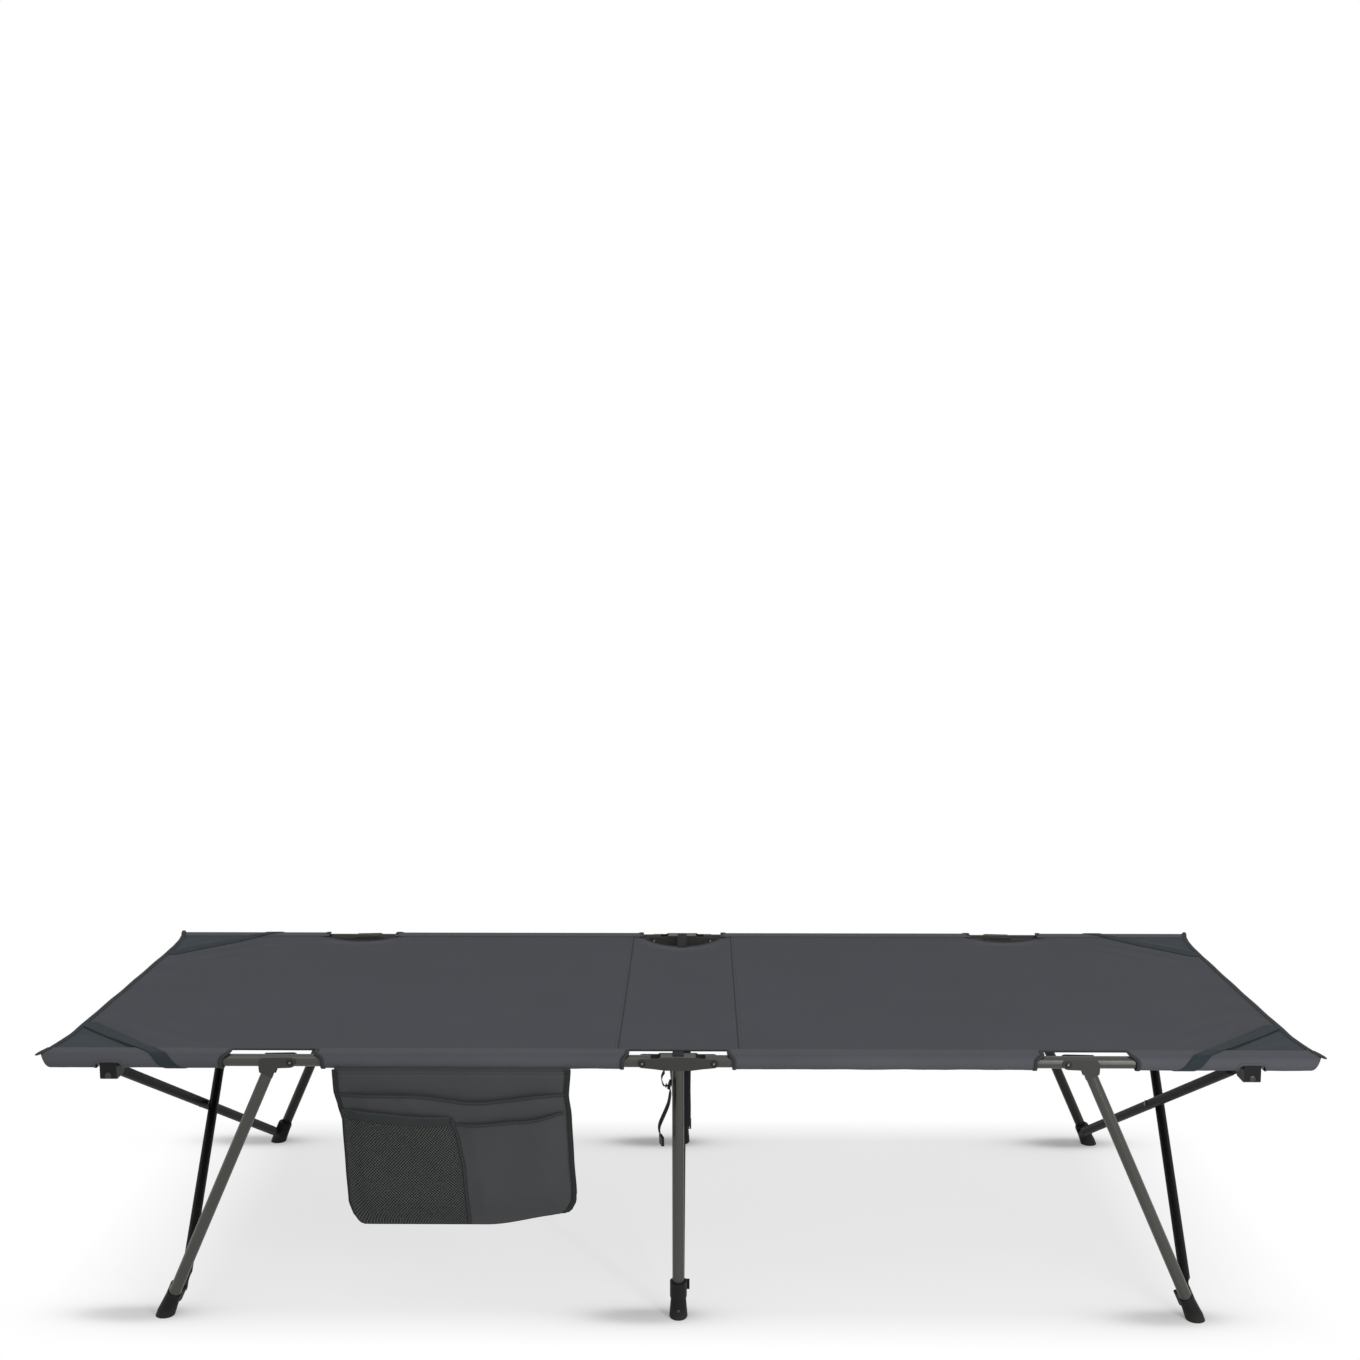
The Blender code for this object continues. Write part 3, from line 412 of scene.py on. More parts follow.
# ----------------------------------------------------------
# Rail sleeves: the long edges of the polyester deck, turned round the rails and stitched down
# in a hem. They are cut away at the joints, and the cut edges are bound.
def woven(name, dark, light, pitch, rough=0.88, depth=0.35, sheen=0.05, blotch=0.5, marks=(), thread=(0.05, 0.05, 0.06),
          corner=None):
    """Plain weave on the piece's own UV, which is in metres. marks are (axis, place, half width, dash) lines;
    corner is (limit, slope, colour) for a patch cut slantwise across each corner, with a painted shadow line along its
    slant edge."""
    cloth_look = Finish(name)
    uv = cloth_look.place("UV")
    u, v, _ = cloth_look.axes(uv)
    turn = math.tau / pitch
    weave = (u * turn).sin() * (v * turn).sin() * 0.5 + 0.5
    yarn = cloth_look.grain(uv, 0.55 / pitch, 2.0, 0.7)
    cloud = cloth_look.grain(cloth_look.place(), 5.5, 3.0, 0.6)
    share = (yarn * 0.45 + weave * 0.30 + (cloud - 0.5) * blotch).clip()
    colour = cloth_look.tint(share, dark, light)
    height = weave * 0.7 + yarn * 0.5
    if corner:
        slant = abs(u) + abs(v) * corner[1]
        beyond = 1 - slant.below(corner[0], 0.0015)
        colour = cloth_look.tint(beyond * 0.85, colour, cloth_look.tint(share, corner[2],
                                                                       tuple(c * 1.6 for c in corner[2])))
        # Painted shadow: a dark line along the slant edge, where the corner strap's edge shades the bed.
        colour = cloth_look.tint(abs(slant - corner[0] - 0.001).below(0.0060, 0.0020) * 0.95, colour,
                                 (0.006, 0.007, 0.009))
    for axis, place, half, dash in marks:
        line = abs((u, v)[axis] - place).below(half, half * 0.5)
        if dash:
            line = line * ((v, u)[axis] / dash).fract().below(0.62, 0.15)
            height = height + line * 0.9
        else:
            height = height - line * 2.0
        colour = cloth_look.tint(line * (0.8 if dash else 0.75), colour, thread)
    return cloth_look.shade(base_color=colour, roughness=rough + (weave - 0.5) * 0.10 + (cloud - 0.5) * 0.1,
                            normal=cloth_look.bump(height, depth, 0.00035), sheen_weight=sheen,
                            sheen_roughness=0.45, specular_ior_level=0.15)


def piece(name, bm, finish, body, hard=55.0):
    """A mesh made in code becomes a named, smoothed piece on a body."""
    bmesh.ops.remove_doubles(bm, verts=bm.verts, dist=1e-6)
    mesh = bpy.data.meshes.new(name)
    bm.to_mesh(mesh)
    bm.free()
    obj = bpy.data.objects.new(name, mesh)
    bpy.context.scene.collection.objects.link(obj)
    mesh.materials.append(finish)
    mesh.shade_smooth()
    mesh.set_sharp_from_angle(angle=math.radians(hard))
    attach(obj, body)
    return obj


def cloth(name, rows, finish, thick, body, slot_name, along=None, across=None, keep=None, flip=False):
    """A grid of cloth with its measures as UV, thickened away from its face. keep(row, column) drops cells."""
    if along is None:
        mid = len(rows[0]) // 2
        along = [0.0]
        for low, high in zip(rows, rows[1:]):
            along.append(along[-1] + (Vector(high[mid]) - Vector(low[mid])).length)
    if across is None:
        across = [0.0]
        for left, rightward in zip(rows[len(rows) // 2], rows[len(rows) // 2][1:]):
            across.append(across[-1] + (Vector(rightward) - Vector(left)).length)
    bm = bmesh.new()
    layer = bm.loops.layers.uv.new("measure")
    grid = [[bm.verts.new(p) for p in row] for row in rows]
    for r in range(len(rows) - 1):
        for c in range(len(rows[0]) - 1):
            if keep and not keep(r, c):
                continue
            cell = [(r, c), (r, c + 1), (r + 1, c + 1), (r + 1, c)]
            if flip:
                cell.reverse()
            face = bm.faces.new([grid[i][j] for i, j in cell])
            for loop, (i, j) in zip(face.loops, cell):
                loop[layer].uv = (along[i], across[j])
    for vert in [v for v in bm.verts if not v.link_faces]:
        bm.verts.remove(vert)
    obj = piece(name, bm, finish, body)
    deselect()
    obj.select_set(True)
    bpy.context.view_layer.objects.active = obj
    wall = obj.modifiers.new("wall", "SOLIDIFY")
    wall.thickness = thick
    wall.offset = -1.0
    wall.use_even_offset = True
    bpy.ops.object.modifier_apply(modifier="wall")
    obj.data.set_sharp_from_angle(angle=math.radians(50))
    deselect()
    return obj


def sweep(name, path, outs, section, finish, body, slot_name, scale=None, hard=55.0):
    """A strip or cord: a closed section of (across, out) points carried along a path, with closed ends."""
    bm = bmesh.new()
    layer = bm.loops.layers.uv.new("measure")
    path = [Vector(p) for p in path]
    rings, run, far = [], [0.0], len(path) - 1
    for k, point in enumerate(path):
        way = (path[min(k + 1, far)] - path[max(k - 1, 0)]).normalized()
        out = Vector(outs[k] if isinstance(outs, list) else outs)
        out = (out - way * out.dot(way)).normalized()
        across = way.cross(out)
        size = scale[k] if scale else 1.0
        rings.append([bm.verts.new(point + across * (a * size) + out * o) for a, o in section])
        if k:
            run.append(run[-1] + (point - path[k - 1]).length)
    count = len(section)
    girth = [0.0]
    for (a0, o0), (a1, o1) in zip(section, section[1:] + section[:1]):
        girth.append(girth[-1] + math.hypot(a1 - a0, o1 - o0))
    for k in range(far):
        for i in range(count):
            j = (i + 1) % count
            face = bm.faces.new((rings[k][i], rings[k + 1][i], rings[k + 1][j], rings[k][j]))
            for loop, spot in zip(face.loops, ((k, i), (k + 1, i), (k + 1, i + 1), (k, i + 1))):
                loop[layer].uv = (run[spot[0]], girth[spot[1]])
    bm.faces.new(rings[0])
    bm.faces.new(list(reversed(rings[-1])))
    bmesh.ops.recalc_face_normals(bm, faces=bm.faces)
    return piece(name, bm, finish, body, hard)


def flat_band(width, thick):
    """The section of a woven tape, with its edges eased."""
    return [(-width / 2, 0), (-width / 2, thick * 0.6), (-width * 0.44, thick), (width * 0.44, thick),
            (width / 2, thick * 0.6), (width / 2, 0)]


def round_band(radius, sides=8, squat=1.0):
    return [(radius * math.cos(math.tau * k / sides), radius * squat * math.sin(math.tau * k / sides))
            for k in range(sides)]


def ease(value):
    value = max(0.0, min(1.0, value))
    return value * value * (3 - 2 * value)


DECK_Z = 0.4115
SLEEVE_R = 0.0115
HEM_IN = 0.0205
CENTRE_BAY = (0.0725, 0.0080)
LEG_BAY_IN = (0.541, -0.0120)
LEG_BAY_OUT = (0.665, 0.0100)
YOKE = (0.824, 0.864)
RING_END = 0.9327
EAR_END = 0.9490
PROUD = 0.0001

# The sleeve cloth is the deck's polyester in a paler colour: painted light for the brighter light on the rounded
# sleeve.
sleeve_cloth = woven("sleeve_polyester", (0.062, 0.064, 0.074), (0.110, 0.113, 0.127), 0.0011,
                     marks=((1, 0.0030, 0.0004, 0.0036),))
tape_cloth = woven("binding_tape", (0.022, 0.025, 0.028), (0.050, 0.055, 0.060), 0.0008, depth=0.5,
                   marks=((1, 0.0022, 0.0003, 0.0028),), thread=(0.09, 0.09, 0.095))


def sleeve_section():
    """(inset, height, wrap) round the sleeve: hem top, over the rail, under it, and back up to the hem."""
    pts = [(HEM_IN, DECK_Z - 0.0002, 0.0), (0.0170, DECK_Z, 0.0), (0.0120, DECK_Z, 0.0), (0.0060, DECK_Z, 0.0)]
    for deg in range(0, 246, 12):
        t = math.radians(deg)
        pts.append((-SLEEVE_R * math.sin(t), RAIL_Z + SLEEVE_R * math.cos(t), deg / 180))
    pts += [(0.0118, 0.4000, 1.4), (0.0138, 0.4050, 1.4), (0.0165, 0.4084, 1.4), (HEM_IN, 0.4091, 1.4)]
    return pts


SECTION = sleeve_section()


def bay_edge(bay, wrap, _inset=0.0):
    """Where a bound bay edge lies: further along the rail the further round the sleeve it is."""
    return bay[0] + bay[1] * ease(wrap / 0.42)


centre_edge, leg_edge_in, leg_edge_out = (partial(bay_edge, bay) for bay in (CENTRE_BAY, LEG_BAY_IN, LEG_BAY_OUT))


def round_rail(wrap, sy):
    """The way out of the rail at a place round it: 0 is on top, 1 underneath."""
    return Vector((0, sy * math.sin(wrap * math.pi), math.cos(wrap * math.pi)))


def far_edge(wrap, inset):
    """The sleeve's outer end: an ear on top, drawn in along the hem, and a square ring below."""
    top = EAR_END - 0.0050 * ease((inset + 0.004) / 0.024)
    return RING_END + (top - RING_END) * max(0.0, 1 - wrap / 0.85)


def puff(x, wrap, seed):
    """Slack in the sleeve: shallow waves along the rail, mostly on its front and underside."""
    wave = noise.noise((x * 22.0, wrap * 2.0, seed)) * 0.0007 + noise.noise((x * 70.0, wrap * 3.0, seed + 9)) * 0.00025
    return wave * ease(wrap * 2.2) * (1 if wrap < 1.35 else 0.3)


def rail_sleeve(side, sy, end, ex, tag, start, stop, steps, notch=None):
    """One length of sleeve between two edges given as functions of (wrap, inset)."""
    low, high = start(0.5, 0), stop(0.5, 0)
    marks = [k / steps for k in range(steps + 1)]
    if notch:
        for place in (notch[0] - 0.003, notch[0], notch[1], notch[1] + 0.003):
            marks.append((place - low) / (high - low))
        marks.sort()
    mid = [low + (high - low) * share for share in marks]
    rows = []
    for share, place in zip(marks, mid):
        row = []
        for inset, z, wrap in SECTION:
            a, b = start(wrap, inset), stop(wrap, inset)
            if notch:
                # The notch's own lines stay straight while the ends flare
                x = place + (a - low) * (1 - ease(share / 0.25)) + (b - high) * ease((share - 0.75) / 0.25)
            else:
                x = a + (b - a) * share
            lift = puff(x, wrap, sy * 3 + ex)
            out = 1 + lift / SLEEVE_R
            if 0 < wrap < 1.39:
                inset, z = inset * out, RAIL_Z + (z - RAIL_Z) * out
            row.append((ex * x, sy * (RAIL_Y - inset), z))
        rows.append(row)

    def cell(r, c):
        if not notch:
            return True
        inside = notch[0] - 1e-6 < mid[r] and mid[r + 1] < notch[1] + 1e-6
        return not (inside and 0.48 < SECTION[c + 1][2] and SECTION[c][2] < 1.41)

    run = [0.0]
    for (i0, z0, _), (i1, z1, _) in zip(SECTION, SECTION[1:]):
        run.append(run[-1] + math.hypot(i1 - i0, z1 - z0))
    return cloth(f"{side}_{end}_{tag}", rows, sleeve_cloth, 0.0010, f"{side}_{end}_rail", end + "_deck_panel",
                 along=mid, across=run, keep=cell, flip=(ex * sy > 0))


def sleeve_band(name, edge, inward, sy, ex, body, slot_name, width=0.0058):
    """Binding tape round a cut end of the sleeve, standing a little proud of it."""
    path, outs = [], []
    for inset, z, wrap in SECTION[2:-3]:
        if wrap > 1.36:
            continue
        out = round_rail(wrap, sy)
        x = edge(wrap, inset) + inward * width * 0.45
        path.append(Vector((ex * x, sy * (RAIL_Y - inset), z)) + out * PROUD)
        outs.append(out)
    return sweep(name, path, outs, flat_band(width, 0.0011), tape_cloth, body, slot_name)


sleeves = {"left": [], "centre": [], "right": []}
for side, sy in SIDES:
    for end, ex in ENDS:
        body = f"{side}_{end}_rail"
        made = sleeves[end]
        made.append(rail_sleeve(side, sy, end, ex, "inner_sleeve", centre_edge, leg_edge_in, 70))
        made.append(rail_sleeve(side, sy, end, ex, "outer_sleeve", leg_edge_out, far_edge, 44, YOKE))
        for tag, edge, inward in (("centre_band", centre_edge, 1), ("leg_band_in", leg_edge_in, -1),
                                  ("leg_band_out", leg_edge_out, 1)):
            made.append(sleeve_band(f"{side}_{end}_{tag}", edge, inward, sy, ex, body, end + "_deck_panel"))
        # Binding round the arch over the yoke: down one side, along the top and down the other
        rise = [(YOKE[0] - 0.001, 1.15), (YOKE[0] - 0.001, 0.85), (YOKE[0] - 0.0008, 0.62), (YOKE[0] + 0.002, 0.49),
                (YOKE[0] + 0.008, 0.46), (0.844, 0.455), (YOKE[1] - 0.008, 0.46), (YOKE[1] - 0.002, 0.49),
                (YOKE[1] + 0.0008, 0.62), (YOKE[1] + 0.001, 0.85), (YOKE[1] + 0.001, 1.15)]
        outs = [round_rail(wrap, sy) for _, wrap in rise]
        path = [Vector((ex * x, sy * RAIL_Y, RAIL_Z)) + out * (SLEEVE_R + PROUD) for (x, _), out in zip(rise, outs)]
        made.append(sweep(f"{side}_{end}_yoke_band", path, outs, flat_band(0.0034, 0.0009), sleeve_cloth, body,
                          end + "_deck_panel"))


# ----------------------------------------------------------
# Deck: the taut polyester bed in three panels, seamed beside the middle hinge. Each end panel
# rides its near rails.
SEAM_X = 0.0903
DECK_END, FLARE_FROM = 0.9366, 0.88
EDGE_Y = 0.3035
BAYS = ((-0.603, 0.062), (0.0, 0.0735), (0.603, 0.062))


def end_x(y):
    """The concave outer end of the deck, drawn out to an ear at each side."""
    pull = max(0.0, (abs(y) - 0.235) / 0.0968)
    return DECK_END + 0.0126 * min(1.0, pull) ** 1.6


def lip_y(x):
    """The far long edge: the fabric bows in at each cut-out on the far side."""
    bow = 0.0
    for centre, half in BAYS:
        reach = abs(x - centre) / half
        if reach < 1:
            bow = max(bow, (0.040 if centre == 0 else 0.0100) * (1 - reach ** 2.2) ** 0.8)
    return EDGE_Y - bow


def deck_z(x, y):
    """Height of the taut bed: a slight belly, faint pulls from the corners and the bound edges."""
    across = y / EDGE_Y
    belly = 0.0032 * (1 - across * across) * (1 - 0.5 * ease((abs(x) - 0.7) / 0.23))
    ripple = noise.noise((x * 3.2, y * 7.0, 3.1)) * 0.0007 + noise.noise((x * 9.0, y * 5.0, 7.7)) * 0.00035
    for centre, half in BAYS:
        reach = abs(x - centre) / (half * 1.25)
        if reach < 1:
            pucker = (1 - reach) * ease((-y - 0.20) / 0.08)
            ripple += 0.0006 * pucker * math.sin((x - centre) * 95)
            dip = (1 - reach ** 2) * ease((y - (lip_y(x) - 0.050)) / 0.050)
            belly += 0.0075 * max(0.0, dip)
    for sx in (-1, 1):
        for sy in (-1, 1):
            gap = Vector((sx * 0.84 - x, sy * 0.25 - y))
            if gap.length < 0.14:
                ripple += 0.0006 * (1 - gap.length / 0.14) * math.sin((sx * x * 0.75 + sy * y) * 120)
    ends = math.sin(y * 60) * 0.00035 * ease((abs(x) - 0.80) / 0.13)
    groove = -0.0007 * math.exp(-((abs(x) - SEAM_X) / 0.0016) ** 2)
    hold = ease((EDGE_Y - abs(y)) / 0.03)
    return DECK_Z - 0.0011 - belly * ease((EDGE_Y - abs(y)) / 0.02 if y < 0 else 1) + (ripple + ends) * hold + groove


def deck_panel(name, low, high, body):
    """A panel of the bed between two x places; its columns run from the near hem to the far lip."""
    step = 0.0065
    stops = {low, high} | {low + k * step for k in range(math.ceil((high - low) / step))}
    for sx in (-1, 1):
        for off in (-0.0045, -0.003, -0.0018, -0.0009, 0, 0.0009, 0.0018, 0.003, 0.0045):
            if low < sx * SEAM_X + off < high:
                stops.add(sx * SEAM_X + off)
        for centre, half in BAYS:
            for off in (-half, half):
                if low < centre + off < high:
                    stops.add(centre + off)
    xs = sorted(stops)
    xs = [x for x, ahead_x in zip(xs, xs[1:] + [9]) if ahead_x - x > 2e-4]
    ys = [k / 90 for k in range(91)]
    rows = []
    for x in xs:
        row = []
        for t in ys:
            y = -EDGE_Y + (lip_y(x) + EDGE_Y) * t
            reach = x
            if abs(x) > FLARE_FROM:
                flare = (end_x(y) - FLARE_FROM) / (DECK_END - FLARE_FROM)
                reach = math.copysign(FLARE_FROM + (abs(x) - FLARE_FROM) * flare, x)
            row.append((reach, y, deck_z(reach, y)))
        rows.append(row)
    across = [(-EDGE_Y + 2 * EDGE_Y * t) for t in ys]
    return cloth(name, rows, deck_cloth_seamed, 0.0011, body, name.replace("_bed", "_deck_panel"), along=xs,
                 across=across, flip=True)


# Beyond each corner strap the bed is slate; the dark line along the strap's outer edge is painted shadow.
deck_cloth_seamed = woven("deck_polyester_seamed", (0.046, 0.048, 0.058), (0.080, 0.083, 0.098), 0.0011, marks=(
    (0, SEAM_X, 0.0011, 0), (0, -SEAM_X, 0.0011, 0), (0, SEAM_X + 0.0052, 0.0003, 0.0034),
    (0, -SEAM_X - 0.0052, 0.0003, 0.0034)), thread=(0.018, 0.018, 0.022),
    corner=(1.1662, 1.17, (0.027, 0.037, 0.046)))
PANELS = {"left": (-DECK_END, -HINGE_X, "near_left_rail"), "centre": (-HINGE_X, HINGE_X, "centre_frame"),
          "right": (HINGE_X, DECK_END, "near_right_rail")}
beds = {end: deck_panel(end + "_bed", *places) for end, places in PANELS.items()}
for end, bed in beds.items():
    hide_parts(end + "_deck_panel")

# ----------------------------------------------------------
# Edge bindings: dark woven tape folded over every raw edge of the bed, along both ends with a
# pointed ear at each corner, and along the lips of the cut-outs.
trims = {"left": [], "centre": [], "right": []}
for end, ex in ENDS:
    path = [(ex * (end_x(y) - 0.0028), y, deck_z(ex * (end_x(y) - 0.0028), y) - 0.0013)
            for y in [-EDGE_Y + 2 * EDGE_Y * k / 60 for k in range(61)]]
    hem = sweep(end + "_end_hem", path, (0, 0, 1), [(-0.0042, 0), (-0.0042, 0.0018), (-0.0036, 0.0024),
                (0.0036, 0.0024), (0.0042, 0.0018), (0.0042, 0), (0.0036, -0.0006), (-0.0036, -0.0006)],
                tape_cloth, f"near_{end}_rail", end + "_deck_panel")
    trims[end].append(hem)
    for side, sy in SIDES:
        # The hem's last stretch lies on the sleeve and ends in the ear
        path = [(ex * (end_x(y) - 0.0028 + 0.0008 * k), sy * y, DECK_Z - 0.0004 - 0.0007 * ease((k - 2) / 3))
                for k, y in enumerate((0.3036, 0.3100, 0.3170, 0.3240, 0.3290, 0.3325))]
        ear = sweep(f"{side}_{end}_ear", path, (0, 0, 1), flat_band(0.0084, 0.0014), tape_cloth,
                    f"{side}_{end}_rail", end + "_deck_panel", scale=[1, 1, 1, 0.95, 0.75, 0.35])
        sleeves[end].append(ear)


def bind_lips(name, end, body, spots):
    """Bound lips of a cut-out in the bed, one along its near edge and one along its far edge."""
    near = [(x, -EDGE_Y + 0.0006, DECK_Z - 0.0012) for x in spots]
    far = [(x, lip_y(x) - 0.0008, deck_z(x, lip_y(x) - 0.0008) - 0.0006) for x in spots]
    for tag, path in (("near", near), ("far", far)):
        trims[end].append(sweep(f"{tag}_{end}_{name}", path, (0, 0, 1), round_band(0.0026, 10, 0.6), tape_cloth, body,
                                end + "_deck_panel"))


for centre, half in BAYS:
    end = "centre" if centre == 0 else ("left" if centre < 0 else "right")
    limit = HINGE_X if centre == 0 else half + 0.004
    bind_lips("lip", end, PANELS[end][2], [centre - limit + 2 * limit * k / 24 for k in range(25)])
# The end panels carry the centre lips on past the hinge
for end, ex in ENDS:
    bind_lips("hinge_lip", end, PANELS[end][2], [ex * (HINGE_X + (0.0765 - HINGE_X) * k / 8) for k in range(9)])

# A short webbing tab ties the bed to the head bracket at each centre leg.
strap_black = woven("black_webbing", (0.0085, 0.0090, 0.0095), (0.022, 0.024, 0.026), 0.0012, depth=0.6)
for side, sy in SIDES:
    body = "centre_frame" if sy < 0 else "far_centre_frame"
    reach = EDGE_Y if sy < 0 else lip_y(0)
    path = [(0, sy * y, z) for y, z in ((reach - 0.006, DECK_Z - 0.0034 - (0.006 if sy > 0 else 0)),
                                        (reach + 0.002, DECK_Z - 0.0030 - (0.005 if sy > 0 else 0)),
                                        (RAIL_Y - 0.010, 0.4092), (RAIL_Y - 0.002, 0.4091), (RAIL_Y + 0.0040, 0.4088))]
    tab = sweep(side + "_hinge_tab", path, (0, 0, 1), flat_band(0.0170, 0.0011), strap_black, body,
                "centre_deck_panel")
    if sy > 0:
        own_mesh(tab)
    sleeves["centre"].append(tab)

# ----------------------------------------------------------
# Corner straps: slate webbing sewn slantwise across each corner of the bed and round under the
# sleeve, where it keeps the fabric from creeping inwards.
# The two solid marks along the strap's long edges are dark lines: painted shadow where the edges stand off the bed.
strap_web = woven("corner_strap_webbing", (0.018, 0.026, 0.032), (0.038, 0.052, 0.061), 0.0014, depth=0.6,
                  marks=((1, 0.0030, 0.0003, 0.0030), (1, 0.0330, 0.0003, 0.0030), (1, 0.0003, 0.0011, 0),
                         (1, 0.0357, 0.0011, 0)), thread=(0.02, 0.03, 0.036))
STRAP_HALF = 0.018
for end, ex in ENDS:
    for side, sy in SIDES:
        cols = [-STRAP_HALF + 2 * STRAP_HALF * k / 12 for k in range(13)]
        rows = []
        for k in range(25):
            share = k / 24
            y = 0.185 + (0.302 - 0.185) * share
            x = 0.934 - 0.158 * (y - 0.185) / 0.135
            places = [min(x + d * (1 - 0.28 * ease((share - 0.5) / 0.5)), end_x(y) - 0.0045) for d in cols]
            rows.append([(ex * x, sy * y, deck_z(ex * x, sy * y) + 0.0011 + 0.0011 * ease((y - 0.285) / 0.017))
                         for x in places])
        band = cloth(f"{side}_{end}_strap_top", rows, strap_web, 0.0010, f"near_{end}_rail",
                     f"{side}_{end}_corner_strap", across=[d + STRAP_HALF for d in cols], flip=(ex * sy < 0))
        trims[end].append(band)
        rows = []
        for inset, z, wrap in [(0.0195, DECK_Z, 0)] + SECTION[1:-4]:
            x = 0.934 - 0.158 * (RAIL_Y - max(inset, 0.0) - 0.185) / 0.135 - 0.034 * wrap
            if wrap > 0:
                out = round_rail(wrap, 1) * (SLEEVE_R + 0.0012)
                inset, z = -out.y, RAIL_Z + out.z
            else:
                z = DECK_Z + 0.0012
            rows.append([(ex * (x + d * 0.72), sy * (RAIL_Y - inset), z) for d in cols])
        wrapped = cloth(f"{side}_{end}_strap_wrap", rows, strap_web, 0.0010, f"{side}_{end}_rail",
                        f"{side}_{end}_corner_strap", across=[d + STRAP_HALF for d in cols], flip=(ex * sy < 0))
        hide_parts(f"{side}_{end}_corner_strap")
        sleeves[end].append(wrapped)

for end, (low, high, _) in PANELS.items():
    for soft in [beds[end]] + trims[end]:
        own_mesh(soft)
    rests = [side + ("_head_bracket" if end == "centre" else f"_{end}_rail_tube") for side, _ in SIDES]
    round(high - low + 0.012 * (end != "centre"), 3)
    round((high - low) * 0.607 * (0.985 if end != "centre" else 0.955), 4)

# ----------------------------------------------------------
# Side organiser: a dark polyester backing sewn under the near sleeve, with a wide pocket over
# most of it and, on that, a mesh pocket and a plain pocket. All edges are bound with tape.
pocket_cloth = woven("organiser_polyester", (0.047, 0.048, 0.051), (0.078, 0.080, 0.084), 0.0010, blotch=0.7)
rim_web = woven("organiser_rim", (0.024, 0.028, 0.030), (0.046, 0.052, 0.054), 0.0011, depth=0.6,
                marks=((1, 0.0028, 0.0003, 0.0030),), thread=(0.09, 0.095, 0.10))
ORG_TOP, ORG_LOW = 0.3925, 0.1540
FACE_Y = -0.3360


def org_left(z):
    """The left edge of the organiser leans in as it hangs."""
    pts = [(0.3925, -0.5095), (0.361, -0.5080), (0.3385, -0.5020), (0.316, -0.4960), (0.242, -0.4925),
           (0.190, -0.4895), (0.174, -0.4850), (0.163, -0.4780), (ORG_LOW, -0.4660)]
    return along_points(pts, z)


def org_right(z):
    pts = [(0.3925, -0.1590), (0.353, -0.1620), (0.323, -0.1580), (0.256, -0.1550), (0.206, -0.1515),
           (0.192, -0.1515), (0.180, -0.1570), (0.171, -0.1680), (ORG_LOW, -0.1830)]
    return along_points(pts, z)


def along_points(pts, z):
    """Reads x off a list of (height, x) from top to bottom, with soft corners."""
    for (z0, x0), (z1, x1) in zip(pts, pts[1:]):
        if z >= z1:
            share = max(0.0, min(1.0, (z0 - z) / (z0 - z1)))
            return x0 + (x1 - x0) * (share * 0.5 + ease(share) * 0.5)
    return pts[-1][1]


def org_low(x):
    """The bottom edge: level, and rising towards the right."""
    return ORG_LOW + 0.0165 * ease((x + 0.285) / 0.12) + 0.004 * ease((-0.468 - x) / 0.02)


def belly_wide(x, z):
    """How far the wide pocket stands out from its backing."""
    side_in = min((x - org_left(z)) / 0.05, (org_right(z) - x) / 0.05)
    low_in = (z - org_low(x)) / 0.045
    swell = ease(side_in) * ease(low_in)
    mouth = ease((z - 0.300) / 0.055)
    crease = 0.0011 * noise.noise((x * 17 + z * 9, z * 12, 1.0)) + 0.0006 * noise.noise((x * 45, z * 30, 4.0))
    fold = 0.0016 * math.exp(-(((x + 0.397) + (z - 0.342) * 0.9) / 0.010) ** 2) * ease((z - 0.310) / 0.03)
    return 0.0010 + swell * (0.0046 + 0.0030 * mouth + crease + fold)


def belly_small(x, z, low_x, high_x, seed):
    """How far a small pocket stands out from the wide one, between its own two side seams."""
    span = max(high_x - low_x, 1e-3)
    share = (x - low_x) / span
    swell = ease(min(share, 1 - share) * 5.5) * ease((z - org_low(x) - 0.004) / 0.035)
    crease = 0.0009 * noise.noise((x * 26, z * 15, seed)) + 0.0005 * noise.noise((x * 60 + z * 25, z * 45, seed + 3))
    return belly_wide(x, z) + 0.0016 + swell * (0.0042 + crease + 0.0012 * ease((z - 0.25) / 0.06))


def org_cloth(name, left_of, right_of, top_of, depth, finish, thick, columns=64, rows_down=48):
    """A panel of the organiser between two side lines, from its mouth down to the bottom edge."""
    rows = []
    for r in range(rows_down + 1):
        down = r / rows_down
        row = []
        for c in range(columns + 1):
            share = c / columns
            guess = left_of(0.28) + (right_of(0.28) - left_of(0.28)) * share
            z = top_of(guess) + (org_low(guess) + 0.001 - top_of(guess)) * down
            x = left_of(z) + (right_of(z) - left_of(z)) * share
            z = top_of(x) + (org_low(x) + 0.001 - top_of(x)) * down
            row.append((x, FACE_Y - depth(x, z), z))
        rows.append(row)
    return cloth(name, rows, finish, thick, "near_left_rail", "side_organiser")


def mouth_wide(x):
    sag = 0.003 * ease((x + 0.40) / 0.1) * ease((-0.2 - x) / 0.05)
    return 0.3560 - 0.0078 * math.exp(-((x + 0.300) / 0.055) ** 2) - sag


def mouth_mesh(x):
    return 0.3328 - 0.0085 * ease((x + 0.488) / 0.12) - 0.0015 * ease((x + 0.375) / 0.04)


def mouth_plain(x):
    return 0.3130 + 0.0055 * ease((x + 0.300) / 0.07) + 0.0115 * ease((x + 0.235) / 0.075)


def divider(z):
    """The piping between the two small pockets."""
    return along_points([(0.322, -0.3340), (0.285, -0.3235), (0.240, -0.3160), (ORG_LOW, -0.3100)], z)


